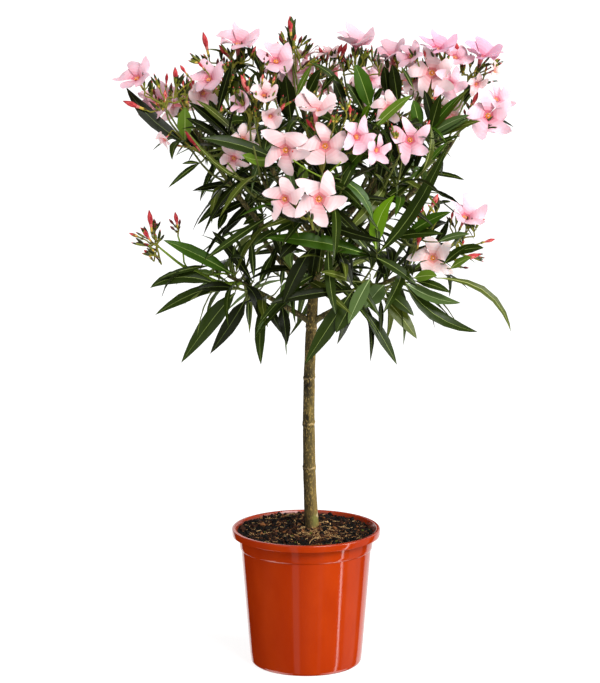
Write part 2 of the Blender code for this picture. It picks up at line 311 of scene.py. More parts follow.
def calculate(finish, operation, first, second=None):
    node = addNode(finish, "ShaderNodeMath", operation=operation)
    feed(finish, first, node.inputs[0])
    feed(finish, second, node.inputs[1])
    return node.outputs[0]


def addBump(finish, height, strength, distance):
    bump = addNode(finish, "ShaderNodeBump")
    bump.inputs["Strength"].default_value = strength
    bump.inputs["Distance"].default_value = distance
    join(finish, height, bump.inputs["Height"])
    intoShader(finish, bump.outputs["Normal"], "Normal")


def unevenFinish(name, colour, gloss, low, high, scale):
    # a plain colour, with a roughness that varies a little from place to place
    finish = makeFinish(name, colour, (low + high) / 2, gloss)
    spots = noisePattern(finish, (1, 1, 1), scale)
    intoShader(finish, rangeOf(finish, spots, 0.3, 0.7, low, high), "Roughness")
    return finish


# what the meshes are made with
def smoothOver(piece, sharp):
    pickOnly(piece)
    bpy.ops.object.shade_smooth_by_angle(angle=math.radians(sharp))


def dress(piece, finish, sharp):
    piece.data.materials.clear()
    piece.data.materials.append(finish)
    smoothOver(piece, sharp)


def joinedPiece(name, parts, finishes, sharp=45):
    # parts are (places, faces, finish numbers); a three-sided face ends in -1
    starts = np.cumsum([0] + [len(p[0]) for p in parts[:-1]])
    places = np.concatenate([p[0] for p in parts])
    faces = np.concatenate([np.where(p[1] >= 0, p[1] + s, -1) for p, s in zip(parts, starts)])
    tints = np.concatenate([p[2] for p in parts])
    sides = np.where(faces[:, 3] < 0, 3, 4)
    mesh = bpy.data.meshes.new(name)
    mesh.vertices.add(len(places))
    mesh.vertices.foreach_set("co", places.astype(np.float32).ravel())
    mesh.loops.add(int(sides.sum()))
    mesh.loops.foreach_set("vertex_index", faces[faces >= 0].astype(np.int32))
    mesh.polygons.add(len(faces))
    starts = np.concatenate([[0], np.cumsum(sides)[:-1]])
    mesh.polygons.foreach_set("loop_start", starts.astype(np.int32))
    mesh.polygons.foreach_set("material_index", tints.astype(np.int32))
    mesh.update(calc_edges=True)
    for finish in finishes:
        mesh.materials.append(finish)
    piece = bpy.data.objects.new(name, mesh)
    bpy.context.scene.collection.objects.link(piece)
    smoothOver(piece, sharp)
    return piece


def unit(v):
    return v / max(float(np.linalg.norm(v)), 1e-9)


def across(direction):
    # a unit vector square to direction
    return unit(np.cross(direction, up if abs(direction[2]) < 0.9 else np.array((1.0, 0, 0))))


def spoke(axis, angle):
    # a unit vector square to the axis, at this angle round it
    return across(axis) * math.cos(angle) + np.cross(axis, across(axis)) * math.sin(angle)


def between(pair, share):
    return pair[0] + (pair[1] - pair[0]) * share


def smoothLine(points, steps):
    # a curve through all the points
    points = [np.asarray(p, float) for p in points]
    if len(points) == 2:
        return np.array([points[0] + (points[1] - points[0]) * k / steps for k in range(steps + 1)])
    ends = [2 * points[0] - points[1]] + points + [2 * points[-1] - points[-2]]
    line = []
    share = max(2, round(steps / (len(points) - 1)))
    for a, b, c, d in zip(ends, ends[1:], ends[2:], ends[3:]):
        for k in range(share):
            t = k / share
            line.append(0.5 * (
                2 * b + (c - a) * t + (2 * a - 5 * b + 4 * c - d) * t * t
                + (3 * b - a - 3 * c + d) * t ** 3
            ))
    return np.array(line + [points[-1]])


def tube(line, radii, sides, tints):
    # a closed round stem along a line, with a pointed cap at each end; one tint or one for each ring
    line = np.asarray(line, float)
    count = len(line)
    radii = np.asarray(radii)
    if len(radii) == 2:
        radii = radii[0] + (radii[1] - radii[0]) * np.linspace(0, 1, count)
    runs = np.gradient(line, axis=0)
    runs /= np.maximum(np.linalg.norm(runs, axis=1, keepdims=True), 1e-9)
    first = across(runs[0])
    rings = []
    angles = np.arange(sides) * 2 * math.pi / sides
    for k in range(count):
        first = unit(first - runs[k] * first.dot(runs[k]))
        second = np.cross(runs[k], first)
        ring = np.outer(np.cos(angles), first) + np.outer(np.sin(angles), second)
        rings.append(line[k] + ring * radii[k])
    foot = line[0] - runs[0] * radii[0] * 0.4
    tip = line[-1] + runs[-1] * radii[-1] * 0.6
    places = np.concatenate(rings + [foot[None], tip[None]])
    k = np.arange(count - 1)[:, None] * sides
    j = np.arange(sides)[None, :]
    n = (j + 1) % sides
    quads = np.stack([k + j, k + n, k + sides + n, k + sides + j], -1).reshape(-1, 4)
    j, n = j[0], n[0]
    last = (count - 1) * sides
    spare = np.full(sides, -1)
    footFan = np.stack([n, j, np.full(sides, count * sides), spare], -1)
    tipFan = np.stack([last + j, last + n, np.full(sides, count * sides + 1), spare], -1)
    faces = np.concatenate([quads, footFan, tipFan])
    tints = [tints] * count if isinstance(tints, int) else tints
    marks = np.repeat([*tints[:count - 1], tints[0], tints[-1]], sides)
    return places, faces, marks


pot = {
    "height": 0.1960,
    "footRadius": 0.0790,
    "footRounding": 0.0050,
    "footHollow": (0.0680, 0.0007),     # radius and depth of the shallow hollow underneath
    "stepHeight": 0.1670,
    "shoulderRadius": 0.0922,
    "ledge": 0.0016,
    "collarRadius": 0.0955,
    "rimRadius": 0.1050,
    "lipDepth": 0.0095,
    "lipInner": 0.0995,                 # the wall flares out to this at its top
    "flareHeight": 0.1845,
    "lipRounding": 0.0018,
    "wall": 0.0018,
    "floor": 0.0022,
    "floorRings": (0.012, 0.040),       # radii of the rings that divide the flat floor
    "segments": 144,
    "drainHoles": 6,
    "drainRadius": 0.0045,
    "drainCircle": 0.0580,
    "colour": (158, 46, 5),
    "paler": (168, 53, 8),
    "deeper": (150, 40, 4),
    "fleck": (214, 90, 44),
    "dust": (58, 34, 20),
}


def roundedCorner(radius, height, size, fromAngle, toAngle, steps=4):
    # points round a corner whose centre is at radius, height
    angles = [math.radians(fromAngle + (toAngle - fromAngle) * k / steps) for k in range(steps + 1)]
    return [(radius + size * math.cos(a), height + size * math.sin(a)) for a in angles]


def bodyRadius(height):
    # outer radius of the tapering body
    return pot["footRadius"] + (pot["shoulderRadius"] - pot["footRadius"]) * height / pot["stepHeight"]


def potProfile():
    # radius and height, from the middle of the foot up the outside, over the lip and down inside;
    # the small differences between neighbours soften the corners
    wall, rounding, lip = pot["wall"], pot["footRounding"], pot["lipRounding"]
    step, top, flare = pot["stepHeight"], pot["height"], pot["flareHeight"]
    collar, rim, lipInner = pot["collarRadius"], pot["rimRadius"], pot["lipInner"]
    stepOut = pot["shoulderRadius"] + pot["ledge"]
    hollowRadius, hollowDepth = pot["footHollow"]
    points = [(r, hollowDepth) for r in (*pot["floorRings"], hollowRadius)]
    points += [(hollowRadius + 0.0012, 0.0)]
    points += roundedCorner(bodyRadius(0) - rounding, rounding, rounding, -90, 0)
    points += [(bodyRadius(h), h) for h in np.linspace(0.018, step - 0.004, 13)]
    points += [(bodyRadius(step - 0.0006), step - 0.0006), (stepOut - 0.0006, step)]
    points += [(stepOut, step + 0.0011)]
    points += [(between((stepOut, collar), s), between((step, flare), s)) for s in (0.3, 0.65, 0.95)]
    points += [(collar + 0.0001, flare + 0.0024), (collar + 0.0012, flare + 0.0036)]
    underLip, lipIn, lipFoot = top - wall, rim - wall, top - pot["lipDepth"]
    points += [(lipInner + wall / 2, underLip), (lipIn - 0.0004, underLip)]
    points += [(lipIn, underLip - 0.0006), (lipIn, lipFoot), (lipIn + 0.0006, lipFoot - 0.0003)]
    points += [(rim - 0.0004, lipFoot), (rim - 0.0001, lipFoot + 0.0007)]
    points += roundedCorner(rim - lip, top - lip, lip, 0, 90)
    points += roundedCorner(lipInner + 0.0010, top - 0.0010, 0.0010, 90, 165, 3)
    inner = collar - wall
    points += [(inner + 0.0020, flare + 0.0045), (inner + 0.0003, flare + 0.0010), (inner, flare - 0.0010)]
    points += [(stepOut - wall, step + wall), (pot["shoulderRadius"] - wall, step - 0.0004)]
    points += [(bodyRadius(h) - wall, h) for h in (0.12, 0.08, 0.04, 0.010)]
    points += roundedCorner(bodyRadius(0) - wall - rounding, pot["floor"] + rounding, rounding, 0, -90)
    return points + [(r, pot["floor"]) for r in reversed(pot["floorRings"])]


def drawOut(name, sections, sides):
    # a disc is drawn out ring by ring; a section is its place sideways, height and radius
    x, height, radius = sections[0]
    deselectAll()
    bpy.ops.mesh.primitive_circle_add(
        vertices=sides, radius=radius, fill_type="NGON", location=(x, 0, height)
    )
    piece = bpy.context.active_object
    piece.name = name
    bpy.ops.object.mode_set(mode="EDIT")
    bpy.ops.mesh.select_mode(type="FACE")
    bpy.ops.mesh.select_all(action="SELECT")
    for (oldX, oldHeight, oldRadius), (x, height, radius) in zip(sections, sections[1:]):
        step = (x - oldX, 0, height - oldHeight)
        bpy.ops.mesh.extrude_region_move(TRANSFORM_OT_translate={"value": step})
        swell = radius / oldRadius
        bpy.ops.transform.resize(value=(swell, swell, 1), center_override=(x, 0, height))
    return piece


def closeUp():
    # in edit mode: doubles merged and faces turned outwards, then the object's place goes into its mesh
    bpy.ops.mesh.select_all(action="SELECT")
    bpy.ops.mesh.remove_doubles(threshold=0.000001)
    bpy.ops.mesh.normals_make_consistent(inside=False)
    bpy.ops.object.mode_set(mode="OBJECT")
    bpy.ops.object.transform_apply(location=True, rotation=True, scale=True)


def turnedSolid(name, profile, segments):
    piece = drawOut(name, [(0, height, radius) for radius, height in profile], segments)
    closeUp()
    return piece


def cutDrainHoles(piece):
    for k in range(pot["drainHoles"]):
        turn = 2 * math.pi * (k + 0.5) / pot["drainHoles"]
        place = (pot["drainCircle"] * math.cos(turn), pot["drainCircle"] * math.sin(turn), 0)
        deselectAll()
        bpy.ops.mesh.primitive_cylinder_add(
            vertices=24, radius=pot["drainRadius"], depth=6 * pot["floor"], location=place
        )
        cutter = bpy.context.active_object
        pickOnly(piece)
        cut = piece.modifiers.new("drainHole", "BOOLEAN")
        cut.operation = "DIFFERENCE"
        cut.object = cutter
        bpy.ops.object.modifier_apply(modifier=cut.name)
        bpy.data.objects.remove(cutter)


def plasticFinish():
    finish = makeFinish("orangePlastic", pot["colour"], 0.2, 0.5)
    clouds = noisePattern(finish, (1, 1, 0.45), 14, 4)
    base = ramp(finish, clouds, [(0.34, pot["deeper"]), (0.52, pot["colour"]), (0.70, pot["paler"])])
    grains = noisePattern(finish, (1, 1, 1), 900, 2)
    speckled = blendColours(finish, rangeOf(finish, grains, 0.62, 0.80, 0.0, 0.14), base, pot["fleck"])
    # soil dust clings in patches to the wall just above the soil, inside only
    x, y, height = objectPlace(finish)[1]
    level = addNode(finish, "ShaderNodeCombineXYZ")
    join(finish, x, level.inputs["X"])
    join(finish, y, level.inputs["Y"])
    radius = addNode(finish, "ShaderNodeVectorMath", operation="LENGTH")
    join(finish, level.outputs[0], radius.inputs[0])
    lean = calculate(finish, "MULTIPLY", height, 0.55)
    leaning = calculate(finish, "SUBTRACT", radius.outputs["Value"], lean)
    inside = rangeOf(finish, leaning, -0.0074, -0.0068, 1.0, 0.0)
    low = rangeOf(finish, height, 0.1925, 0.1950, 1.0, 0.0)
    high = rangeOf(finish, height, 0.1862, 0.1870, 0.0, 1.0)
    inside = calculate(finish, "MULTIPLY", inside, high)
    patches = rangeOf(finish, noisePattern(finish, (1, 1, 1.6), 95, 4), 0.38, 0.60, 0.15, 0.9)
    dust = calculate(finish, "MULTIPLY", calculate(finish, "MULTIPLY", inside, low), patches)
    cover = calculate(finish, "MULTIPLY", dust, 0.8)
    intoShader(finish, blendColours(finish, cover, speckled, pot["dust"]), "Base Color")
    smears = noisePattern(finish, (1, 1, 0.12), 40, 3)
    rough = rangeOf(finish, smears, 0.35, 0.68, 0.08, 0.13)
    # the top of the lip is duller than the wall
    rough = calculate(finish, "ADD", rough, rangeOf(finish, height, 0.1935, 0.1950, 0.0, 0.14))
    rough = calculate(finish, "ADD", rough, calculate(finish, "MULTIPLY", dust, 0.5))
    intoShader(finish, rough, "Roughness")
    addBump(finish, noisePattern(finish, (1, 1, 0.12), 26, 2), 0.06, 0.0008)
    return finish


def buildPot():
    piece = turnedSolid("potShell", potProfile(), pot["segments"])
    cutDrainHoles(piece)
    dress(piece, plasticFinish(), 38)
    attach(piece, "root")
    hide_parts("pot")
    print("pot shaped:", len(piece.data.polygons), "faces")


soil = {
    "edgeHeight": 0.1905,
    "centreHeight": 0.1968,
    "lean": (-0.016, 0.020),            # the soil lies higher on the left and at the back
    "flatRadius": 0.0200,
    "clearance": 0.0003,
    "segments": 96,
    "rings": 34,
    "lumps": (0.0130, 0.0052),          # size and height of the coarse lumps
    "grit": (0.0036, 0.0022),           # size and height of the fine ones
    "crumbs": 2500,
    "crumbSizes": (0.0008, 0.0011, 0.0015, 0.0021),
    "clodSizes": (0.0026, 0.0046),      # a few crumbs are larger
    "fibres": 760,
    "fibreLengths": (0.004, 0.015),
    "chips": 80,
    "dark": (13, 9, 6),
    "brown": (50, 26, 13),
    "black": (5, 4, 3),
    "grey": (62, 42, 28),
    # the loose bits: colour and gloss
    "bits": {
        "soilDark": ((13, 9, 6), 0.2),
        "soilBrown": ((50, 26, 13), 0.2),
        "barkChip": ((122, 76, 40), 0.3),
        "straw": ((206, 166, 112), 0.3),
        "mossBit": ((88, 94, 30), 0.2),
    },
}


def soilHeight(radius):
    edge = bodyRadius(soil["edgeHeight"]) - pot["wall"]
    out = min(1.0, max(0.0, (radius - soil["flatRadius"]) / (edge - soil["flatRadius"])))
    return soil["centreHeight"] + (soil["edgeHeight"] - soil["centreHeight"]) * out ** 0.9


def soilFinish():
    finish = makeFinish("compost", soil["dark"], 0.95, 0.2)
    clumps = noisePattern(finish, (1, 1, 1), 190, 5, 0.7)
    colour = ramp(finish, clumps, [
        (0.38, soil["black"]), (0.56, soil["dark"]), (0.72, soil["brown"]), (0.88, soil["grey"]),
    ])
    intoShader(finish, colour, "Base Color")
    addBump(finish, noisePattern(finish, (1, 1, 1), 420, 4, 0.7), 0.8, 0.0012)
    return finish


def buildSoil():
    # the solid fills the pot from its floor up, a little off the wall
    wall, base = pot["wall"] + soil["clearance"], pot["floor"] + soil["clearance"]
    profile = [(0.030, base), (bodyRadius(0) - wall - 0.005, base)]
    profile += [(bodyRadius(0.006) - wall, base + 0.006)]
    profile += [(bodyRadius(h) - wall, h) for h in (0.05, 0.10, 0.150)]
    edge = pot["collarRadius"] - wall
    profile += [(pot["shoulderRadius"] - wall - 0.001, 0.164)]
    profile += [(edge - 0.0012, 0.172), (edge - 0.0004, 0.183)]
    edge += 0.0028
    profile += [(edge, soil["edgeHeight"])]
    radii = [edge + (0.004 - edge) * k / soil["rings"] for k in range(1, soil["rings"] + 1)]
    profile += [(r, soilHeight(r)) for r in radii]
    piece = turnedSolid("compost", profile, soil["segments"])
    surface = piece.vertex_groups.new(name="surface")
    top = [v for v in piece.data.vertices if v.co.z > soil["edgeHeight"] - 0.0005]
    surface.add([v.index for v in top if v.co.xy.length > 0.012], 1.0, "REPLACE")
    for vert in top:
        out = vert.co.xy.length
        rise = vert.co.xy.dot(Vector(soil["lean"])) * min(1.0, out / 0.05)
        vert.co.z += rise
        if out > 0.085:
            # the wall flares, so the edge widens where it lies higher
            vert.co.xy *= 1 + rise * 0.6 / out
    pickOnly(piece)
    for label in ("lumps", "grit"):
        size, height = soil[label]
        pattern = bpy.data.textures.new(label, "CLOUDS")
        pattern.noise_scale = size
        pattern.noise_depth = 3
        push = piece.modifiers.new(label, "DISPLACE")
        push.texture = pattern
        push.texture_coords = "LOCAL"
        push.direction = "Z"
        push.mid_level = 0.55
        push.strength = height
        push.vertex_group = surface.name
        bpy.ops.object.modifier_apply(modifier=push.name)
    dress(piece, soilFinish(), 60)
    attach(piece, "root")
    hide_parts("soil")
    return piece


def icosahedron():
    # twelve corners at a distance of 1, and the twenty faces that join neighbours
    wide = (1 + math.sqrt(5)) / 2
    corners = []
    for a in (-1, 1):
        for b in (-wide, wide):
            corners += [(0, a, b), (a, b, 0), (b, 0, a)]
    corners = np.array(corners, float)
    corners /= np.linalg.norm(corners[0])
    faces = []
    side = 1.06
    for i, j, k in itertools.combinations(range(12), 3):
        a, b, c = corners[[i, j, k]]
        if max(np.linalg.norm(a - b), np.linalg.norm(b - c), np.linalg.norm(a - c)) < side:
            faces.append((i, j, k, -1) if np.dot(np.cross(b - a, c - a), a) > 0 else (i, k, j, -1))
    return corners, np.array(faces)


def turnAbout(axis, angle):
    return np.array(Matrix.Rotation(angle, 3, Vector(axis)))


def scatterCompost(ground):
    rng = random.Random(11)
    shades = np.random.default_rng(11)
    tree = BVHTree.FromPolygons(
        [v.co[:] for v in ground.data.vertices], [p.vertices[:] for p in ground.data.polygons]
    )
    corners, faces = icosahedron()
    reach = pot["collarRadius"] - pot["wall"] + 0.0018
    finishes = [
        unevenFinish(name, colour, gloss, 0.8, 0.98, 300) for name, (colour, gloss) in soil["bits"].items()
    ]
    dark, brown, bark, straw, moss = range(len(finishes))
    parts = []

    def groundAt(x, y):
        return tree.ray_cast(Vector((x, y, 0.25)), Vector((0, 0, -1)))[0]

    def somewhere(least=0.013):
        while True:
            x, y = rng.uniform(-reach, reach), rng.uniform(-reach, reach)
            if least < math.hypot(x, y) < reach:
                hit = groundAt(x, y)
                if hit is not None:
                    return np.array(hit)

    for k in range(soil["crumbs"]):
        size = rng.choice(soil["crumbSizes"]) * rng.uniform(0.7, 1.25)
        if rng.random() < 0.06:
            size = rng.uniform(*soil["clodSizes"])
        shape = corners * (1 + shades.uniform(-0.28, 0.28, (12, 1))) * shades.uniform(0.6, 1.15, 3)
        place = somewhere()
        place[:2] *= min(1.0, (reach + 0.0012 - size) / max(math.hypot(place[0], place[1]), 1e-6))
        spun = shape @ turnAbout((rng.random(), rng.random(), 1), rng.uniform(0, 6.28)).T
        tint = rng.choices((dark, brown, bark, moss), (64, 30, 4, 1.2))[0]
        parts.append((place + up * size * 0.35 + spun * size, faces, np.full(20, tint)))
    for k in range(soil["chips"]):
        place = somewhere()
        shape = corners * (1 + shades.uniform(-0.2, 0.2, (12, 1)))
        shape = shape * np.array((rng.uniform(0.0016, 0.0040), rng.uniform(0.0006, 0.0012), 0.0004))
        tilt = turnAbout((rng.uniform(-1, 1), rng.uniform(-1, 1), 0.01), rng.uniform(0, 0.6))
        spun = shape @ (tilt @ turnAbout((0, 0, 1), rng.uniform(0, 6.28))).T
        place[:2] *= 0.965
        tint = rng.choice((bark, bark, straw, brown))
        parts.append((place + up * 0.0011 + spun, faces, np.full(20, tint)))
    for k in range(soil["fibres"]):
        place = somewhere(0.016)
        place[:2] *= 0.92
        if rng.random() < 0.4:
            # many of them lie in front of the trunk
            place[:2] = rng.gauss(0.018, 0.022), -0.030 + rng.gauss(0, 0.014)
            place[:2] *= min(1.0, 0.085 / max(0.001, math.hypot(place[0], place[1])))
        heading = rng.uniform(0, 6.28)
        length = rng.uniform(*soil["fibreLengths"])
        line = []
        for step in range(5):
            spot = place + np.array((math.cos(heading), math.sin(heading), 0)) * (step / 4 - 0.5) * length
            heading += rng.uniform(-0.35, 0.35)
            if math.hypot(spot[0], spot[1]) > reach:
                spot[:2] *= reach / math.hypot(spot[0], spot[1])
            hit = groundAt(spot[0], spot[1])
            spot[2] = (hit[2] if hit is not None else place[2]) + rng.uniform(0.0006, 0.0024)
            line.append(spot)
        thick = rng.uniform(0.00016, 0.00036)
        tint = rng.choices((straw, bark, brown), (4, 4, 2))[0]
        parts.append(tube(line, (thick, thick * 0.6), 3, tint))
    piece = joinedPiece("compostCrumbs", parts, finishes)
    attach(piece, "root")
    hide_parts("soil")
    print("compost laid:", len(piece.data.polygons), "faces")


trunk = {
    # place sideways, height and radius, from the soil to the tip of the leader
    "line": [
        (0.0080, 0.1940, 0.0108), (0.0080, 0.2010, 0.0099), (0.0062, 0.2350, 0.0092),
        (0.0047, 0.2820, 0.0089), (0.0038, 0.3470, 0.0084), (0.0044, 0.4120, 0.0079),
        (0.0062, 0.4600, 0.0077), (0.0085, 0.5030, 0.0075), (0.0118, 0.5600, 0.0069),
        (0.0144, 0.6000, 0.0063), (0.0166, 0.6320, 0.0056), (0.0166, 0.6400, 0.0054),
    ],
    "sides": 56,
    "cutsPerRun": 26,
    "rings": (0.2830, 0.3475, 0.4125, 0.4840),           # heights of the old leaf nodes
    "ringSwell": 0.0009,
    "cracks": 0.00052,
    "grain": 0.00016,
    "colours": {"main": (88, 76, 36), "light": (168, 140, 72), "dark": (30, 23, 11)},
    "ringColour": (186, 158, 112),
    "footColour": (76, 56, 26),
    # moss and a pale scar low down: place, size and colour
    "spots": [
        ((0.0155, -0.0070, 0.210), 0.011, (106, 112, 50)),
        ((0.0175, -0.0035, 0.216), 0.0055, (206, 186, 150)),
    ],
}
boughs = {
    "nodeHeights": {
        "first": 0.491, "second": 0.534, "third": 0.563,
        "fourth": 0.587, "between": 0.599, "fifth": 0.612,
    },
    "thickAtTrunk": 0.0043,
    "leaderThick": 0.0051,
    "thickAtEnd": 0.0024,
    "sides": 12,
    "steps": 78,
    "nodeGap": 0.017,
    "nodeSwell": 0.10,
    "collar": 0.0022,                   # how much thicker a bough is where it leaves the trunk
    "rough": 0.00030,
    "colours": {"main": (84, 78, 40), "light": (136, 118, 66), "dark": (52, 44, 24)},
}
# each mass of foliage: the trunk node its bough grows from, and the mass's centre
masses = {
    "low_left": ("first", (-0.108, -0.030, 0.562)),
    "low_right": ("first", (0.130, -0.046, 0.565)),
    "low_back": ("first", (0.005, 0.112, 0.580)),
    "low_front": ("second", (0.018, -0.086, 0.574)),
    "mid_left": ("second", (-0.098, 0.042, 0.664)),
    "mid_right": ("second", (0.115, 0.042, 0.668)),
    "far_left": ("third", (-0.152, -0.028, 0.764)),
    "far_right": ("third", (0.202, -0.022, 0.748)),
    "back_top": ("third", (0.004, 0.110, 0.772)),
    "front_left": ("fourth", (-0.074, -0.096, 0.738)),
    "front_right": ("fourth", (0.114, -0.096, 0.726)),
    "back_left": ("fourth", (-0.106, 0.114, 0.744)),
    "back_right": ("fourth", (0.116, 0.114, 0.744)),
    "right_shoulder": ("between", (0.158, 0.018, 0.804)),
    "left_top": ("fifth", (-0.086, 0.014, 0.796)),
    "right_top": ("fifth", (0.078, 0.014, 0.798)),
    "front": ("fifth", (0.022, -0.102, 0.692)),
    "centre_top": ("leader", (-0.004, 0.004, 0.788)),
}


def trunkAt(height):
    # the middle and the radius of the trunk at a height
    xs, heights, radii = zip(*trunk["line"])
    return np.array((np.interp(height, heights, xs), 0.0, height)), float(np.interp(height, heights, radii))


def boughStart(node):
    return trunkAt(trunk["line"][-1][1] if node == "leader" else boughs["nodeHeights"][node])[0]


def boughPoint(mass, share):
    # a place along the bough of a mass, 0 at the trunk and 1 where the foliage begins
    node, end = masses[mass]
    start, end = boughStart(node), np.array(end)
    run = end - start
    if node == "leader":
        guide = start + up * run[2] * 0.5
    else:
        guide = start + run * np.array((0.45, 0.45, 0.50 if node == "first" else 0.22))
    return start * (1 - share) ** 2 + guide * 2 * share * (1 - share) + end * share ** 2


def barkFinish(name, colours, streakScale):
    main, light, dark = colours["main"], colours["light"], colours["dark"]
    finish = makeFinish(name, main, 0.72, 0.3)
    streaks = noisePattern(finish, (1, 1, 0.10), streakScale, 5, 0.65)
    pale = [(a + b) / 2 for a, b in zip(main, light)]
    base = ramp(finish, streaks, [(0.37, dark), (0.47, main), (0.56, main), (0.68, pale)])
    # blotches, pale flecks and dark pits: stretch, noise, the range that shows, and how strongly
    for stretch, pattern, shown, colour in (
        (0.5, (60, 3), (0.40, 0.66, 0.0, 0.65), dark),
        (0.45, (520, 2, 0.5), (0.56, 0.62, 0.0, 0.8), light),
        (0.35, (340, 3, 0.6), (0.39, 0.45, 0.85, 0.0), dark),
    ):
        marks = noisePattern(finish, (1, 1, stretch), *pattern)
        base = blendColours(finish, rangeOf(finish, marks, *shown), base, colour)
    return finish, base, streaks


def trunkFinish():
    colours = trunk["colours"]
    finish, base, streaks = barkFinish("trunkBark", colours, 150)
    place, (side, depth, height) = objectPlace(finish)
    # browner towards the foot
    base = blendColours(finish, rangeOf(finish, height, 0.19, 0.36, 0.45, 0.0), base, trunk["footColour"])
    # pale, worn, wavy rings
    centred = calculate(finish, "SUBTRACT", noisePattern(finish, (1, 1, 1), 130, 3), 0.5)
    wobble = calculate(finish, "MULTIPLY", centred, 0.012)
    wavy = calculate(finish, "ADD", height, wobble)
    nearest = None
    for ring in trunk["rings"]:
        gap = calculate(finish, "ABSOLUTE", calculate(finish, "SUBTRACT", wavy, ring))
        nearest = gap if nearest is None else calculate(finish, "MINIMUM", nearest, gap)
    worn = rangeOf(finish, noisePattern(finish, (1, 1, 1), 210, 2), 0.40, 0.56, 0.15, 0.85)
    ringed = calculate(finish, "MULTIPLY", rangeOf(finish, nearest, 0.0005, 0.0015, 0.9, 0.0), worn)
    base = blendColours(finish, ringed, base, trunk["ringColour"])
    # painted shade: darker and greyer on the left side; painted light: paler on the right, where the key
    # light falls
    base = blendColours(finish, rangeOf(finish, side, -0.004, 0.007, 0.55, 0.0), base, colours["dark"])
    base = blendColours(finish, rangeOf(finish, side, 0.006, 0.0145, 0.0, 0.32), base, colours["light"])
    for spot, size, tint in trunk["spots"]:
        gap = addNode(finish, "ShaderNodeVectorMath", operation="DISTANCE")
        join(finish, place, gap.inputs[0])
        gap.inputs[1].default_value = spot
        uneven = calculate(finish, "ADD", gap.outputs["Value"], wobble)
        base = blendColours(finish, rangeOf(finish, uneven, size * 0.4, size, 0.65, 0.0), base, tint)
    intoShader(finish, base, "Base Color")
    intoShader(finish, rangeOf(finish, streaks, 0.3, 0.7, 0.55, 0.85), "Roughness")
    addBump(finish, noisePattern(finish, (1, 1, 0.2), 700, 4, 0.6), 0.5, 0.0005)
    return finish


def barkRelief(place, axis, height):
    # how far the bark stands out here
    spot = Vector(place)
    cracks = noise.noise(Vector((spot.x * 300, spot.y * 300, height * 26)))
    ridges = 1 - 2 * abs(noise.noise(Vector((spot.x * 210 + 7, spot.y * 210, height * 34))))
    grain = noise.noise(Vector((spot.x * 900, spot.y * 900, height * 300)))
    out = trunk["cracks"] * (0.55 * cracks + 0.45 * (ridges - 0.5)) + trunk["grain"] * grain
    turn = math.atan2(spot.y - axis[1], spot.x - axis[0])
    for k, ring in enumerate(trunk["rings"]):
        lift = 0.0016 * math.sin(3 * turn + 1.7 * k) + 0.0008 * math.sin(5 * turn + k)
        gap = height - ring - lift
        out += trunk["ringSwell"] * math.exp(-(gap / 0.0017) ** 2)
        out -= 0.00035 * math.exp(-((gap + 0.0042) / 0.0016) ** 2)
        # three leaf scars sit just above each ring, each a small raised V
        for scar in range(3):
            side = (turn - 2.09 * scar - 1.1 * k + math.pi) % (2 * math.pi) - math.pi
            edge = gap - 0.0030 - abs(side) * 0.004
            out += 0.0005 * math.exp(-(side / 0.42) ** 2 - (edge / 0.0014) ** 2)
    return out


def buildTrunk():
    line = trunk["line"]
    lowest, highest = line[0][1], line[-1][1]
    piece = drawOut("trunkBark", line, trunk["sides"])
    bpy.ops.mesh.select_all(action="DESELECT")
    bpy.ops.object.mode_set(mode="OBJECT")
    for edge in piece.data.edges:
        low, high = (piece.data.vertices[v].co.z for v in edge.vertices)
        edge.select = abs(high - low) > 0.004
    bpy.ops.object.mode_set(mode="EDIT")
    bpy.ops.mesh.select_mode(type="EDGE")
    bpy.ops.mesh.subdivide(number_cuts=trunk["cutsPerRun"])
    closeUp()
    for vert in piece.data.vertices:
        axis, radius = trunkAt(min(max(vert.co.z, lowest), highest))
        out = Vector((vert.co.x - axis[0], vert.co.y, 0))
        if out.length > 0.001:
            # three low roots flare out at the foot, where the bark's relief fades away
            fade = min(1.0, (vert.co.z - lowest) / 0.004)
            foot = max(0, 1 - (vert.co.z - 0.191) / 0.03)
            flare = 1 + 0.06 * math.sin(3 * math.atan2(out.y, out.x) + 1) * foot
            shift = barkRelief(vert.co, axis, vert.co.z) * fade
            vert.co.x += out.x * (flare - 1) + out.normalized().x * shift
            vert.co.y += out.y * (flare - 1) + out.normalized().y * shift
    dress(piece, trunkFinish(), 60)
    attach(piece, "root")
    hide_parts("trunk")
    print("trunk grown:", len(piece.data.polygons), "faces")


def alongLine(line):
    # how far along the line each of its points is
    return np.concatenate([[0], np.cumsum(np.linalg.norm(np.diff(line, axis=0), axis=1))])


def knottyLimb(line, thickness, sides, gap, seed):
    # a limb with a raised ring at each old leaf node, and a rough skin
    line = np.asarray(line)
    along = alongLine(line)
    start, end = thickness
    thick = start + (end - start) * along / along[-1]
    rings = np.exp(-(((along + seed * 0.003) % gap - gap / 2) / 0.0016) ** 2)
    thick = thick * (1 + boughs["nodeSwell"] * rings)
    thick = thick + boughs["collar"] * np.exp(-along / 0.006)
    places, faces, marks = tube(line, thick, sides, 0)
    centres = np.repeat(line, sides, axis=0)
    body = places[:len(centres)]
    out = body - centres
    out /= np.maximum(np.linalg.norm(out, axis=1, keepdims=True), 1e-9)
    rough = np.array([noise.noise(Vector(p) * 380) for p in body])
    places[:len(centres)] = body + out * rough[:, None] * boughs["rough"]
    return places, faces, marks


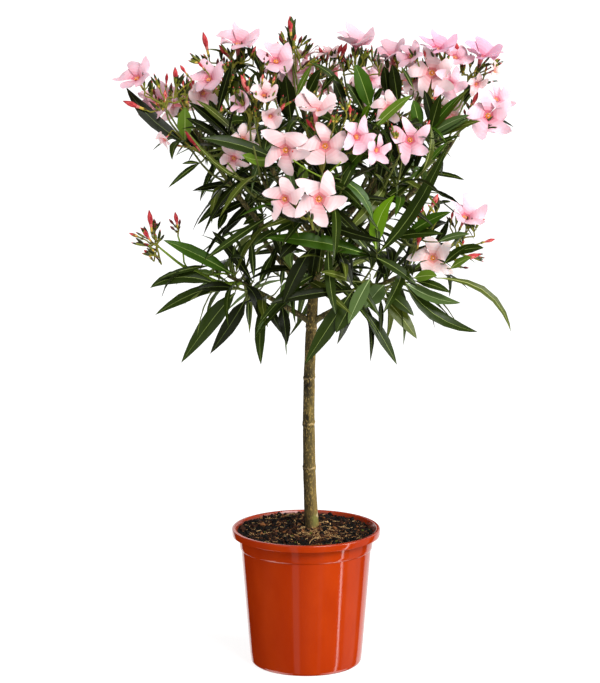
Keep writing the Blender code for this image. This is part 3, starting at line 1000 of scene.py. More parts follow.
def buildBoughs():
    finish, base, streaks = barkFinish("boughBark", boughs["colours"], 260)
    intoShader(finish, base, "Base Color")
    addBump(finish, noisePattern(finish, (1, 1, 1), 800, 4, 0.6), 0.4, 0.0004)
    parts = []
    for seed, (mass, (node, end)) in enumerate(masses.items()):
        line = [boughPoint(mass, share) for share in np.linspace(0, 1, boughs["steps"])]
        thick = boughs["leaderThick" if node == "leader" else "thickAtTrunk"], boughs["thickAtEnd"]
        parts.append(knottyLimb(line, thick, boughs["sides"], boughs["nodeGap"], seed))
    piece = joinedPiece("boughBark", parts, [finish], 60)
    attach(piece, "root")
    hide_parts(*["bough_" + mass for mass in masses])
    print("boughs grown:", len(piece.data.polygons), "faces")


leafShape = {
    # width at each station along the leaf, as a share of the widest
    "stations": (0.0, 0.05, 0.14, 0.28, 0.45, 0.63, 0.80, 0.92, 1.0),
    "widths": (0.12, 0.16, 0.47, 0.86, 1.0, 0.93, 0.62, 0.29, 0.0),
    "ribWidth": 0.00105,
    "thickness": 0.00042,
    "ribDepth": 0.00045,
    "marginCurl": 0.16,
    "ripples": (15, 0.07),              # how many and how high, as a share of the width
}
leafKinds = {
    # blade above, blade below, midrib
    "dark": ((22, 28, 5), (36, 44, 16), (84, 98, 40)),
    "mid": ((38, 52, 10), (58, 70, 30), (122, 138, 66)),
    "green": ((54, 84, 15), (76, 98, 40), (146, 168, 82)),
    "olive": ((72, 82, 24), (92, 102, 48), (158, 166, 92)),
    # the sheen kind is a paler, greyer green: a painted sheen, no glossier than the other kinds
    "sheen": ((76, 96, 50), (98, 116, 72), (158, 176, 118)),
    "fresh": ((96, 124, 36), (118, 138, 60), (178, 194, 110)),
    "young": ((104, 144, 18), (124, 160, 42), (182, 206, 106)),
}
kindMixes = {
    # the kinds among which a shoot's leaves are drawn
    "old": ("dark", "dark", "dark", "mid", "mid", "olive"),
    "mixed": ("dark", "mid", "green", "green", "olive", "sheen"),
}
leafFinish = {
    # gloss, least and greatest roughness, and scale of its pattern
    "leaf_": (0.14, 0.26, 0.40, 160),
    "leafUnder_": (0.08, 0.5, 0.68, 160),
    "leafRib_": (0.3, 0.4, 0.55, 200),
}
limits = {
    "room": 0.008,                      # how far a leaf may stand out of the solids' box
    "lowest": 0.25,
    "inFront": 0.05,                    # how far in front of a bloom no leaf hangs, along its axis
    "inView": 0.30,                     # and towards the camera
}
leafBook = {mass: [] for mass in masses}
stemParts = []


def insideBox(point):
    low, high = np.array(cadBox) + np.array(((-limits["room"],), (limits["room"],)))
    return bool(np.all(point > low) and np.all(point < high) and point[2] > limits["lowest"])


def inOpening(spot):
    x, y = viewPlace(spot)
    return any(math.hypot(x - a, y - b) < r for a, b, r in openings)


def inTheWay(base, middle, tip):
    # true where a leaf would hang in front of a bloom or fill an opening in the head
    eye = np.array(studio["cameraPlace"])
    for spot in ((base + middle) / 2, middle, (middle + tip) / 2, tip):
        for throat, facing, reach in bloomSpots:
            for way, share, depth in (
                (facing, 1.0, limits["inFront"]), (unit(eye - throat), 0.92, limits["inView"]),
            ):
                ahead = float((spot - throat).dot(way))
                if -0.002 < ahead < depth:
                    if np.linalg.norm(spot - throat - way * ahead) < reach * share:
                        return True
        if inOpening(spot):
            return True
    return False


def addLeaf(mass, base, middle, tip, face, width, kind, fold, roll, twist, wave):
    for attempt in range(6):
        if insideBox(tip):
            break
        middle = base + (middle - base) * 0.85
        tip = base + (tip - base) * 0.85
    else:
        return
    leafBook[mass].append((base, middle, tip, face, width, fold, roll, twist, wave, kind))


def leafMeshes(leaves, kindNumbers):
    # all the leaves of a mass at once: a folded blade with a midrib, closed underneath
    base, middle, tip, face = (np.array([leaf[k] for leaf in leaves]) for k in range(4))
    width, fold, roll, twist, wave = (np.array([leaf[k] for leaf in leaves]) for k in range(4, 9))
    t = np.array(leafShape["stations"])[None, :, None]
    count, stations = len(leaves), t.shape[1]
    b, m, e = base[:, None], middle[:, None], tip[:, None]
    control = 2 * m - (b + e) / 2
    centre = b * (1 - t) ** 2 + control * 2 * t * (1 - t) + e * t ** 2
    run = (control - b) * (1 - t) + (e - control) * t
    run /= np.maximum(np.linalg.norm(run, axis=2, keepdims=True), 1e-9)
    side = np.cross(run, np.broadcast_to(face[:, None], run.shape))
    side /= np.maximum(np.linalg.norm(side, axis=2, keepdims=True), 1e-6)
    top = np.cross(side, run)
    turn = (roll[:, None] + twist[:, None] * (t[..., 0] - 0.3))[..., None]
    side, top = side * np.cos(turn) + top * np.sin(turn), top * np.cos(turn) - side * np.sin(turn)

    half = np.array(leafShape["widths"])[None, :] * width[:, None] / 2
    rib = np.minimum(leafShape["ribWidth"] / 2 * (1.15 - t[..., 0]), half * 0.45)
    ribShare = rib / np.maximum(half, 1e-6)
    waves, high = leafShape["ripples"]
    ripple = np.sin(t[..., 0] * waves + wave[:, None] * 6.3) * high * half
    places = np.zeros((count, stations - 1, 8, 3))
    columns = [(-1.0, 0), (-0.55, 0), (None, -1), (None, 1), (0.55, 0), (1.0, 0)]
    for k, (share, ribSide) in enumerate(columns):
        x = ribShare * ribSide if share is None else np.full_like(half, share)
        reach = np.abs(x)
        lift = half * (fold[:, None] * reach - leafShape["marginCurl"] * reach ** 3)
        lift = lift + ripple * np.sign(x) * reach ** 2
        spot = centre + side * (x * half)[..., None] + top * lift[..., None]
        places[:, :, k] = spot[:, :-1]
    under = leafShape["thickness"] + leafShape["ribDepth"] * (1 - t[..., 0])
    for k, ribSide in ((6, 1), (7, -1)):
        spot = centre + side * (rib * ribSide * 0.9)[..., None] - top * under[..., None]
        places[:, :, k] = spot[:, :-1]
    rings = stations - 1
    size = rings * 8 + 1
    everything = np.concatenate([places.reshape(count, rings * 8, 3), centre[:, -1:]], axis=1)

    quads, marks = [], []
    partOf = (0, 0, 2, 0, 0, 1, 2, 1)       # blade, blade, rib, blade, blade, under, rib, under
    for ring in range(rings):
        for k in range(8):
            a, c = ring * 8 + k, ring * 8 + (k + 1) % 8
            quads.append((a, c, c + 8, a + 8) if ring < rings - 1 else (a, c, size - 1, -1))
            marks.append(partOf[k])
    quads += [(7, 2, 1, 0), (6, 3, 2, 7), (5, 4, 3, 6)]
    marks += [1, 1, 1]
    quads, marks = np.array(quads), np.array(marks)
    shift = (np.arange(count) * size)[:, None, None]
    faces = np.where(quads[None] >= 0, quads[None] + shift, -1).reshape(-1, 4)
    kinds = np.array([kindNumbers[leaf[9]] for leaf in leaves])
    tints = (kinds[:, None] * 3 + marks[None]).ravel()
    return everything.reshape(-1, 3), faces, tints


def buildLeaves():
    finishes = {
        kind: [
            unevenFinish(side + kind, colour, *settings)
            for colour, (side, settings) in zip(colours, leafFinish.items())
        ]
        for kind, colours in leafKinds.items()
    }
    for mass, leaves in leafBook.items():
        used = sorted({leaf[9] for leaf in leaves})
        numbers = {kind: k for k, kind in enumerate(used)}
        worn = [finish for kind in used for finish in finishes[kind]]
        piece = joinedPiece("leaves_" + mass, [leafMeshes(leaves, numbers)], worn, 50)
        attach(piece, "root")
        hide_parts("foliage_" + mass)
    print("leaves grown:", sum(len(leaves) for leaves in leafBook.values()))


shootRule = {
    "thickAtFoot": 0.0021,
    "thickAtTip": 0.0012,
    "steps": 16,
    "leavesInWhorl": 3,
    "leafWidth": (0.0125, 0.0185),
    "lengthShare": (0.82, 1.14),
    "leafFold": (0.30, 0.56),
    "leafRoll": (-0.35, 0.35),
    "leafTwist": (-0.5, 0.5),
    "stray": 11,                        # degrees by which a leaf's angle may differ
}
stemTints = {"green": (92, 98, 40), "bright": (118, 144, 36), "stalk": (122, 120, 40)}


def addStem(line, thick, tint, sides=6):
    stemParts.append(tube(line, thick, sides, list(stemTints).index(tint)))


def whorl(mass, rng, place, along, turn, angle, length, mix, droop, narrow):
    # leaves that stand out evenly round a shoot, arch outwards and droop at their tips
    for k in range(shootRule["leavesInWhorl"]):
        out = spoke(along, turn + 2 * math.pi * k / 3 + rng.uniform(-0.25, 0.25))
        lean = math.radians(angle + rng.uniform(-shootRule["stray"], shootRule["stray"]))
        size = length * rng.uniform(*shootRule["lengthShare"])
        start = along * math.cos(lean - 0.24) + out * math.sin(lean - 0.24)
        end = along * math.cos(lean + 0.16) + out * math.sin(lean + 0.16)
        base = place + out * 0.0012
        sag = droop * size * math.hypot(end[0], end[1])
        middle = base + start * size * 0.5 - up * sag * 0.22
        tip = base + start * size * 0.5 + end * size * 0.5 - up * sag
        face = unit(along * 0.55 + up * 0.55 + out * -0.1)
        width = rng.uniform(*shootRule["leafWidth"]) * narrow * min(1.0, size / 0.085 + 0.1)
        kind = rng.choice(kindMixes[mix])
        shape = [rng.uniform(*shootRule[name]) for name in ("leafFold", "leafRoll", "leafTwist")]
        wave = rng.random()
        if not inTheWay(base, middle, tip):
            addLeaf(mass, base, middle, tip, face, width, kind, *shape, wave)


def growShoot(
    name, mass, foot, through, whorls=4, bare=0.3, lengths=(0.095, 0.07), angles=(80, 38),
    mix="old", droop=0.22, narrow=1.0, thick=shootRule["thickAtFoot"], stem="green",
):
    # a shoot from this share along its bough through these places, with its whorls of leaves
    rng = random.Random(name)
    start = boughPoint(mass, foot)
    through = [p if isinstance(p, np.ndarray) else inView(*p) for p in through]
    if np.linalg.norm(through[0] - start) > 0.035:
        # it leaves the bough along the bough's own line
        ahead, behind = boughPoint(mass, min(1.0, foot + 0.06)), boughPoint(mass, foot - 0.06)
        through = [start + (ahead - behind) * 0.9] + through
    line = smoothLine([start] + through, shootRule["steps"])
    addStem(line, (thick, shootRule["thickAtTip"]), stem, 7)
    stemSpots[mass].extend(line)
    along = alongLine(line)
    turn = rng.uniform(0, 6.28)
    for k in range(whorls):
        reach = along[-1] * (bare + (1 - bare) * (k + 0.5) / whorls)
        place = np.array([np.interp(reach, along, line[:, axis]) for axis in range(3)])
        index = min(len(line) - 2, int(np.searchsorted(along, reach)))
        way = unit(line[index + 1] - line[max(0, index - 1)])
        step = k / max(1, whorls - 1)
        whorl(
            mass, rng, place, way, turn, between(angles, step), between(lengths, step),
            mix, droop, narrow,
        )
        turn += math.pi / 3
    return line


def placeLeaf(mass, foot, tip, by, wide, kind):
    # a leaf whose foot and tip are seen at given places, on a short twig from the nearest stem
    base, tip = inView(*foot), inView(*tip)
    middle = inView(*by) if by else (base + tip) / 2 + up * 0.05 * np.linalg.norm(tip - base)
    spots = np.array(stemSpots[mass])
    stem = spots[int(np.argmin(np.linalg.norm(spots - base, axis=1)))]
    gap = float(np.linalg.norm(stem - base))
    if gap > 0.0025:
        knee = (stem + base) / 2 - unit(middle - base) * gap * 0.2
        thick = 0.0007 + min(gap, 0.03) * 0.03
        addStem(smoothLine([stem, knee, base], 8), (thick, 0.0008), "green", 5)
    face = unit(np.array((0.0, -0.72, 0.62)))
    addLeaf(mass, base, middle, tip, face, wide, kind, 0.26, 0.0, 0.15, wide * 500 % 1)


# the shoots that make the outline from the front: mass, share of the way along its bough, the places
# it passes (pixels across and down, metres behind) and where it differs from the others
shoots = {
    "farLeft": ("far_left", 0.75, [(187, 141, -0.03), (170, 122, -0.03), (166, 108, -0.03)]),
    "farLeftLow": ("far_left", 0.9, [(208, 160, -0.05), (197, 150, -0.05)], {"whorls": 2}),
    "leftTop": ("left_top", 0.7, [(217, 117, 0.01), (226, 90, 0.02), (233, 68, 0.02)]),
    "leftFront": ("left_top", 0.8, [(228, 112, -0.01), (218, 96, -0.01)], {"whorls": 3}),
    "leftInner": ("front_left", 0.8, [(252, 150, -0.09), (250, 122, -0.09)], {"whorls": 3}),
    "innerTop": ("left_top", 0.6, [(266, 120, 0.0), (268, 92, 0.0)]),
    "topBud": (
        "centre_top", 0.8, [(297, 100, 0.01), (293, 70, 0.015), (292, 44, 0.02)],
        {"lengths": (0.085, 0.05), "angles": (60, 22)},
    ),
    "topCentre": ("right_top", 0.5, [(330, 104, 0.03), (327, 76, 0.03)], {"whorls": 3}),
    "topRight": ("right_top", 0.8, [(362, 104, 0.0), (360, 76, 0.0)]),
    "rightBack": ("right_top", 0.9, [(395, 110, 0.04), (402, 80, 0.05)]),
    "rightHigh": ("right_shoulder", 0.8, [(428, 125, 0.0), (430, 100, 0.0)]),
    "rightOuter": ("right_shoulder", 0.9, [(455, 110, 0.03), (468, 80, 0.03)]),
    "farRight": ("far_right", 0.8, [(452, 138, -0.01), (472, 122, -0.01)]),
    "frontRight": ("front_right", 0.8, [(396, 186, -0.11), (402, 162, -0.12)], {"whorls": 3}),
    "frontRightHigh": ("front_right", 0.6, [(386, 150, -0.1), (388, 126, -0.1)], {"whorls": 2}),
    "frontHigh": ("front", 0.7, [(322, 200, -0.12), (322, 172, -0.13)], {"whorls": 2}),
    "frontLow": ("front", 0.8, [(319, 230, -0.14), (311, 222, -0.15)], {"whorls": 1}),
    "lowFan": (
        "low_front", 0.6, [(352, 290, -0.09), (372, 268, -0.11), (377, 254, -0.115)],
        {"whorls": 2},
    ),
    "lowRight": (
        "low_right", 0.85, [(403, 283, -0.07), (410, 262, -0.07), (424, 230, -0.06)],
        {"whorls": 2},
    ),
    "lowRightOuter": ("low_right", 0.9, [(425, 265, -0.06), (452, 245, -0.05)], {"whorls": 1}),
    "midRight": (
        "mid_right", 0.55, [(378, 222, 0.04), (386, 174, 0.05)],
        {"whorls": 7, "bare": 0.15, "lengths": (0.095, 0.06), "angles": (78, 40), "narrow": 0.42},
    ),
    "midLeft": (
        "mid_left", 0.55, [(262, 212, 0.04), (256, 182, 0.05)],
        {"whorls": 5, "bare": 0.15, "lengths": (0.095, 0.07), "angles": (84, 50), "narrow": 0.48},
    ),
    "lowLeft": (
        "low_left", 0.85,
        [(220, 283, -0.035), (196, 271, -0.03), (183, 266, -0.03), (165, 252, -0.03), (159, 247, -0.03)],
        {"whorls": 3, "bare": 0.1, "stem": "bright", "thick": 0.0033},
    ),
    "lowLeftBud": (
        "low_left", 0.95, [(205, 275, -0.03), (186, 266, -0.03), (183, 252, -0.03), (178, 236, -0.03)],
        {"whorls": 0, "stem": "bright", "thick": 0.0014},
    ),
}
# the ends of the other shoots, in metres, from which they are grown back to their bough
shootEnds = {
    "low_left": [(-0.13, 0.02, 0.56), (-0.08, 0.01, 0.58)],
    "low_right": [(0.175, 0.0, 0.59), (0.12, 0.01, 0.57)],
    "low_back": [(-0.06, 0.14, 0.55), (0.075, 0.15, 0.555), (0.01, 0.175, 0.59)],
    "low_front": [(-0.03, -0.09, 0.59), (0.05, -0.1, 0.6)],
    "mid_left": [(-0.105, 0.085, 0.67), (-0.085, 0.11, 0.69)],
    "mid_right": [(0.135, 0.085, 0.68), (0.11, 0.1, 0.69), (0.1, 0.03, 0.735)],
    "far_left": [(-0.2, -0.02, 0.805), (-0.18, 0.02, 0.81), (-0.16, 0.04, 0.79)],
    "far_right": [(0.235, 0.01, 0.795), (0.225, 0.04, 0.805), (0.195, 0.05, 0.785)],
    "back_top": [(0.0, 0.18, 0.78), (0.01, 0.13, 0.815), (-0.045, 0.15, 0.79), (0.055, 0.16, 0.795)],
    "front_left": [
        (-0.105, -0.13, 0.73), (-0.07, -0.11, 0.79), (-0.07, -0.16, 0.755), (-0.12, -0.08, 0.76),
    ],
    "front_right": [
        (0.165, -0.115, 0.725), (0.125, -0.15, 0.745), (0.125, -0.105, 0.775), (0.15, -0.07, 0.77),
    ],
    "back_left": [
        (-0.17, 0.13, 0.765), (-0.125, 0.175, 0.755), (-0.115, 0.14, 0.795), (-0.15, 0.08, 0.79),
    ],
    "back_right": [(0.175, 0.13, 0.765), (0.13, 0.18, 0.755), (0.115, 0.14, 0.8), (0.16, 0.08, 0.795)],
    "right_shoulder": [(0.168, 0.0, 0.845), (0.215, 0.03, 0.84), (0.18, 0.05, 0.85)],
    "left_top": [(-0.09, 0.03, 0.85), (-0.13, 0.02, 0.84), (-0.06, 0.04, 0.84)],
    "right_top": [(0.072, 0.01, 0.855), (0.105, 0.035, 0.85), (0.05, 0.05, 0.85)],
    "front": [(-0.02, -0.14, 0.685), (0.05, -0.15, 0.7), (0.02, -0.12, 0.745)],
    "centre_top": [(-0.02, 0.015, 0.87), (-0.03, -0.02, 0.85), (0.02, 0.03, 0.86), (0.03, -0.03, 0.84)],
}
# gaps in the head through which the background is seen: pixels across, down and radius
openings = [
    (120, 130, 25), (150, 190, 37), (140, 235, 38), (130, 300, 22), (135, 340, 36), (190, 395, 34),
    (150, 420, 75), (250, 435, 70), (360, 435, 70), (450, 412, 68), (520, 375, 42), (540, 262, 42),
    (560, 215, 65), (488, 172, 38), (512, 272, 24), (172, 218, 14), (90, 100, 26), (183, 206, 16),
    (196, 243, 8), (448, 168, 10), (436, 182, 7), (250, 264, 6), (232, 348, 8), (198, 326, 8),
    (192, 312, 10), (209, 262, 7), (247, 220, 8), (222, 210, 5), (233, 227, 5), (264, 233, 5),
    (246, 249, 5), (264, 262, 8), (272, 273, 7), (402, 213, 6), (391, 232, 5), (364, 183, 6),
    (412, 198, 5), (352, 212, 5), (396, 172, 5), (428, 212, 5), (434, 28, 8), (214, 40, 8), (204, 78, 13),
    (314, 322, 10), (440, 345, 14), (320, 372, 12), (154, 140, 10), (206, 176, 8), (262, 184, 5),
    (240, 212, 5), (226, 222, 6), (386, 219, 5), (381, 240, 4),
]
bloomSpots = []                         # throat, axis and reach of every bloom


def growRuleShoots():
    # each end is reached from its bough by a curved shoot that turns upwards
    for mass, ends in shootEnds.items():
        rng = random.Random(mass)
        for k, end in enumerate(ends):
            end = np.array(end)
            foot = 0.50 + 0.42 * (k + rng.random()) / len(ends)
            start = boughPoint(mass, foot)
            bend = start + (end - start) * 0.5 - up * 0.10 * np.linalg.norm(end - start)
            growShoot(
                mass + str(k), mass, foot, [bend, end], 4, 0.22, (0.100, 0.072), (82, 34),
                "old" if k % 2 else "mixed", 0.30 if mass.startswith("low") else 0.20,
                0.55 if mass.startswith("mid") else 0.78,
            )
        # older leaves along the bough itself
        turn = rng.uniform(0, 6)
        for share in (0.55, 0.72, 0.88, 1.0):
            along = unit(boughPoint(mass, share) - boughPoint(mass, share - 0.05))
            whorl(mass, rng, boughPoint(mass, share), along, turn, 84, 0.095, "old", 0.35, 0.8)
            turn += 1.05


# leaves that are seen singly, with how far behind each mass's leaves are: foot, tip and width in
# pixels, kind, and for some a place the leaf passes by or how much nearer its tip is
placedLeaves = {
    "far_left": (-0.045, [
        (187, 143, 126, 87, 17, "dark", {"by": (153, 120), "near": -0.03}),
        (185, 141, 185, 107, 17, "fresh"), (200, 163, 168, 188, 7, "mid", {"by": (186, 172)}),
        (200, 163, 182, 164, 5, "mid"), (232, 140, 188, 102, 12, "dark"),
        (226, 144, 186, 118, 12, "dark"), (240, 138, 196, 100, 9, "olive"),
    ]),
    "front_left": (-0.1, [
        (260, 181, 185, 128, 6, "olive", {"by": (224, 170)}), (276, 159, 200, 138, 17, "mid"),
        (278, 158, 242, 155, 18, "fresh", {"near": 0.03, "by": (258, 160)}),
    ]),
    "left_top": (-0.01, [
        (217, 122, 209, 100, 10, "dark"), (217, 116, 232, 62, 9, "dark"), (246, 95, 256, 72, 7, "mid"),
        (238, 118, 252, 84, 8, "mid"), (290, 124, 277, 78, 16, "dark"),
    ]),
    "mid_left": (0.02, [
        (245, 185, 192, 191, 10, "dark"), (240, 190, 209, 204, 10, "dark"),
        (242, 188, 197, 225, 11, "mid"), (250, 200, 210, 220, 11, "dark"), (227, 210, 218, 230, 9, "mid"),
        (253, 202, 221, 238, 11, "dark"), (265, 214, 243, 225, 10, "mid"),
    ]),
    "front": (-0.12, [
        (268, 217, 203, 261, 10, "mid", {"by": (238, 236)}), (277, 230, 253, 246, 11, "mid"),
        (318, 215, 270, 235, 12, "mid"), (305, 234, 279, 259, 13, "dark"),
        (335, 178, 373, 220, 12, "green", {"by": (359, 192)}), (342, 176, 368, 146, 14, "green"),
        (302, 187, 304, 164, 12, "fresh"),
    ]),
    "low_left": (-0.045, [
        (234, 275, 163, 240, 17, "green", {"by": (198, 255)}),
        (216, 284, 150, 288, 17, "mid", {"by": (180, 277)}), (210, 266, 159, 279, 7, "mid"),
        (223, 285, 155, 315, 14, "mid", {"by": (190, 295)}), (235, 288, 198, 289, 13, "dark"),
        (235, 293, 181, 363, 21, "mid", {"by": (212, 320)}),
        (245, 300, 210, 354, 17, "dark", {"by": (232, 322)}),
        (245, 285, 259, 320, 13, "dark", {"by": (256, 298)}), (248, 300, 249, 327, 6, "mid"),
        (264, 302, 261, 365, 12, "mid", {"by": (260, 332)}), (264, 301, 281, 333, 10, "dark"),
        (282, 306, 287, 345, 13, "dark"), (252, 281, 212, 231, 13, "dark"),
        (254, 280, 251, 239, 7, "mid"), (259, 285, 273, 254, 9, "mid"), (267, 279, 278, 245, 9, "dark"),
        (232, 269, 235, 244, 5, "mid"), (239, 270, 252, 238, 7, "mid", {"by": (242, 252)}),
        (281, 286, 284, 266, 6, "mid"),
    ]),
    "low_front": (-0.12, [
        (373, 257, 264, 238, 19, "green", {"by": (320, 242)}), (371, 255, 322, 205, 13, "mid"),
        (311, 249, 283, 304, 17, "dark"), (328, 245, 336, 315, 11, "mid", {"by": (330, 282)}),
        (340, 254, 352, 286, 11, "dark"), (352, 281, 320, 272, 9, "olive"),
        (352, 291, 269, 304, 13, "dark", {"by": (310, 294)}),
        (351, 293, 305, 364, 19, "mid", {"by": (330, 325)}), (355, 300, 336, 333, 18, "mid"),
        (370, 279, 348, 324, 16, "sheen"), (377, 258, 417, 285, 12, "mid"),
        (376, 249, 395, 195, 18, "young", {"by": (379, 220)}),
        (378, 253, 449, 142, 16, "mid", {"by": (414, 210)}),
    ]),
    "low_right": (-0.08, [
        (384, 285, 365, 308, 22, "sheen"), (365, 311, 397, 365, 13, "mid"),
        (381, 299, 381, 335, 6, "dark"), (383, 297, 417, 339, 17, "olive"),
        (385, 292, 414, 316, 15, "mid"), (406, 285, 478, 332, 17, "mid", {"by": (437, 316)}),
        (406, 283, 461, 303, 15, "sheen", {"by": (432, 297)}), (415, 281, 451, 293, 11, "mid"),
        (414, 278, 437, 276, 16, "fresh"), (436, 278, 511, 332, 9, "olive", {"by": (486, 292)}),
        (405, 236, 451, 212, 15, "green"), (392, 238, 444, 234, 13, "mid"),
        (454, 253, 484, 248, 13, "mid"), (450, 269, 472, 257, 11, "fresh"),
        (453, 246, 462, 237, 8, "sheen"), (438, 242, 470, 234, 10, "sheen"),
        (444, 264, 468, 246, 12, "mid"),
    ]),
    "mid_right": (0.03, [
        (436, 204, 451, 202, 6, "mid"), (438, 193, 452, 200, 6, "mid"), (445, 175, 463, 180, 6, "dark"),
        (424, 173, 465, 180, 7, "mid"),
    ]),
    "far_right": (-0.04, [
        (425, 137, 460, 95, 10, "green"), (426, 137, 470, 115, 12, "sheen"),
        (429, 140, 469, 119, 11, "sheen"), (430, 148, 460, 136, 7, "mid"),
        (430, 135, 470, 88, 9, "olive"), (430, 139, 481, 121, 12, "olive"),
        (429, 138, 441, 94, 13, "mid"), (420, 130, 413, 100, 15, "green"),
        (434, 130, 424, 90, 12, "dark"),
    ]),
    "right_top": (-0.02, [
        (344, 107, 308, 62, 9, "mid", {"by": (334, 78)}), (345, 108, 333, 80, 14, "dark"),
        (363, 110, 346, 83, 11, "mid"), (371, 110, 355, 64, 20, "green"),
        (362, 123, 370, 104, 9, "young"), (370, 122, 384, 104, 10, "mid"), (373, 103, 384, 88, 10, "mid"),
        (388, 98, 384, 66, 13, "dark"), (398, 104, 392, 64, 14, "dark"), (414, 90, 401, 67, 6, "mid"),
    ]),
    "front_right": (-0.11, [(373, 129, 413, 95, 13, "fresh")]),
    "centre_top": (-0.02, [
        (291, 121, 285, 75, 17, "dark"), (296, 98, 312, 65, 8, "fresh"), (306, 98, 321, 69, 14, "mid"),
        (321, 91, 336, 76, 10, "mid"),
    ]),
}


def placeLeaves():
    for mass, (behind, leaves) in placedLeaves.items():
        for x0, y0, x1, y1, wide, kind, *extra in leaves:
            extra = dict(*extra)
            near = extra.get("near", 0.02)
            by = (*extra["by"], behind - near * 0.4) if "by" in extra else None
            placeLeaf(mass, (x0, y0, behind), (x1, y1, behind - near), by, wide / 800, kind)


bloomShape = {
    "petals": 5,
    "petalLength": 0.0250,
    "halfWidths": (0.0027, 0.0048, 0.0071, 0.0093, 0.0109, 0.0116, 0.0099),
    "roundEnd": 0.16,
    "ripple": 0.0023,
    "cup": 0.15,
    "sweep": 0.005,
    "leans": (34, 52, 70, 82, 88, 92, 98),      # degrees from the bloom's axis, throat to petal end
    "throat": 0.0032,
    "pitch": 0.26,
    "thickness": 0.0007,
    "span": 0.0560,                             # a full bloom, from petal end to petal end
    # radius and height along the axis of the tube, up and over into the throat, and of the stamens
    "tube": [
        (0, -0.0226), (0.0014, -0.0220), (0.0017, -0.0140), (0.0026, -0.0075), (0.0036, -0.0010),
        (0.0031, 0.0008), (0.0024, -0.0010), (0.0012, -0.0030), (0, -0.0034),
    ],
    "stamens": [(0, -0.0036), (0.0019, -0.0024), (0.0018, 0.0006), (0.0008, 0.0022), (0, 0.0034)],
    "tubeLength": 0.0222,
    "sepalLength": 0.0046,
}
petalTints = {
    # at the throat and at the petal ends
    "soft": ((214, 124, 130), (234, 207, 209)),
    "pink": ((204, 104, 124), (230, 192, 204)),
    "white": ((222, 148, 142), (235, 216, 216)),
    "rose": ((202, 92, 122), (228, 180, 203)),
}
petalShares = (0.0, 0.50, 0.76, 0.89, 0.96, 1.0)     # from the one tint to the other, row by row
bloomExtras = {
    "gold": (252, 186, 74), "tubePink": (216, 118, 126), "tubeBase": (186, 164, 78),
    "fringe": (224, 162, 140),
}
petalColours = {
    kind + str(k): [between(ends, share) for ends in zip(throat, end)]
    for kind, (throat, end) in petalTints.items() for k, share in enumerate(petalShares)
}
petalColours.update(bloomExtras)
budTints = {
    "red": (160, 28, 40), "coral": (190, 60, 62), "salmon": (215, 114, 106), "blush": (236, 176, 166),
    "yellow": (204, 172, 72), "lime": (112, 118, 34), "olive": (50, 54, 16), "maroon": (92, 28, 24),
}
petalNumbers = {name: k for k, name in enumerate(petalColours)}
budNumbers = {name: k for k, name in enumerate(budTints)}
petalParts = []
budParts = []


def sliver(base, tip, side, width, thick, tint):
    # a small pointed scale with four faces
    back = unit(np.cross(side, tip - base))
    places = np.array([base - side * width / 2, base + side * width / 2, base + back * thick, tip])
    faces = np.array([(0, 2, 1, -1), (0, 1, 3, -1), (1, 2, 3, -1), (2, 0, 3, -1)])
    return places, faces, np.full(4, tint)


def lathe(origin, axis, first, profile, size, sides, tints):
    # profile is (radius, height along the axis); its two ends are points on the axis
    profile = [(radius * size, height * size) for radius, height in profile]
    second = np.cross(axis, first)
    angles = np.arange(sides) * 2 * math.pi / sides
    ring = np.outer(np.cos(angles), first) + np.outer(np.sin(angles), second)
    places = [origin + axis * profile[0][1]]
    for radius, height in profile[1:-1]:
        places.extend(origin + axis * height + ring * radius)
    places.append(origin + axis * profile[-1][1])
    faces, marks = [], []
    rings = len(profile) - 2
    for j in range(sides):
        n = (j + 1) % sides
        faces.append((0, 1 + n, 1 + j, -1))
        marks.append(tints[0])
        for k in range(rings - 1):
            a = 1 + k * sides
            faces.append((a + j, a + n, a + sides + n, a + sides + j))
            marks.append(tints[k + 1])
        a = 1 + (rings - 1) * sides
        faces.append((a + j, a + n, len(places) - 1, -1))
        marks.append(tints[-1])
    return np.array(places), np.array(faces), np.array(marks)


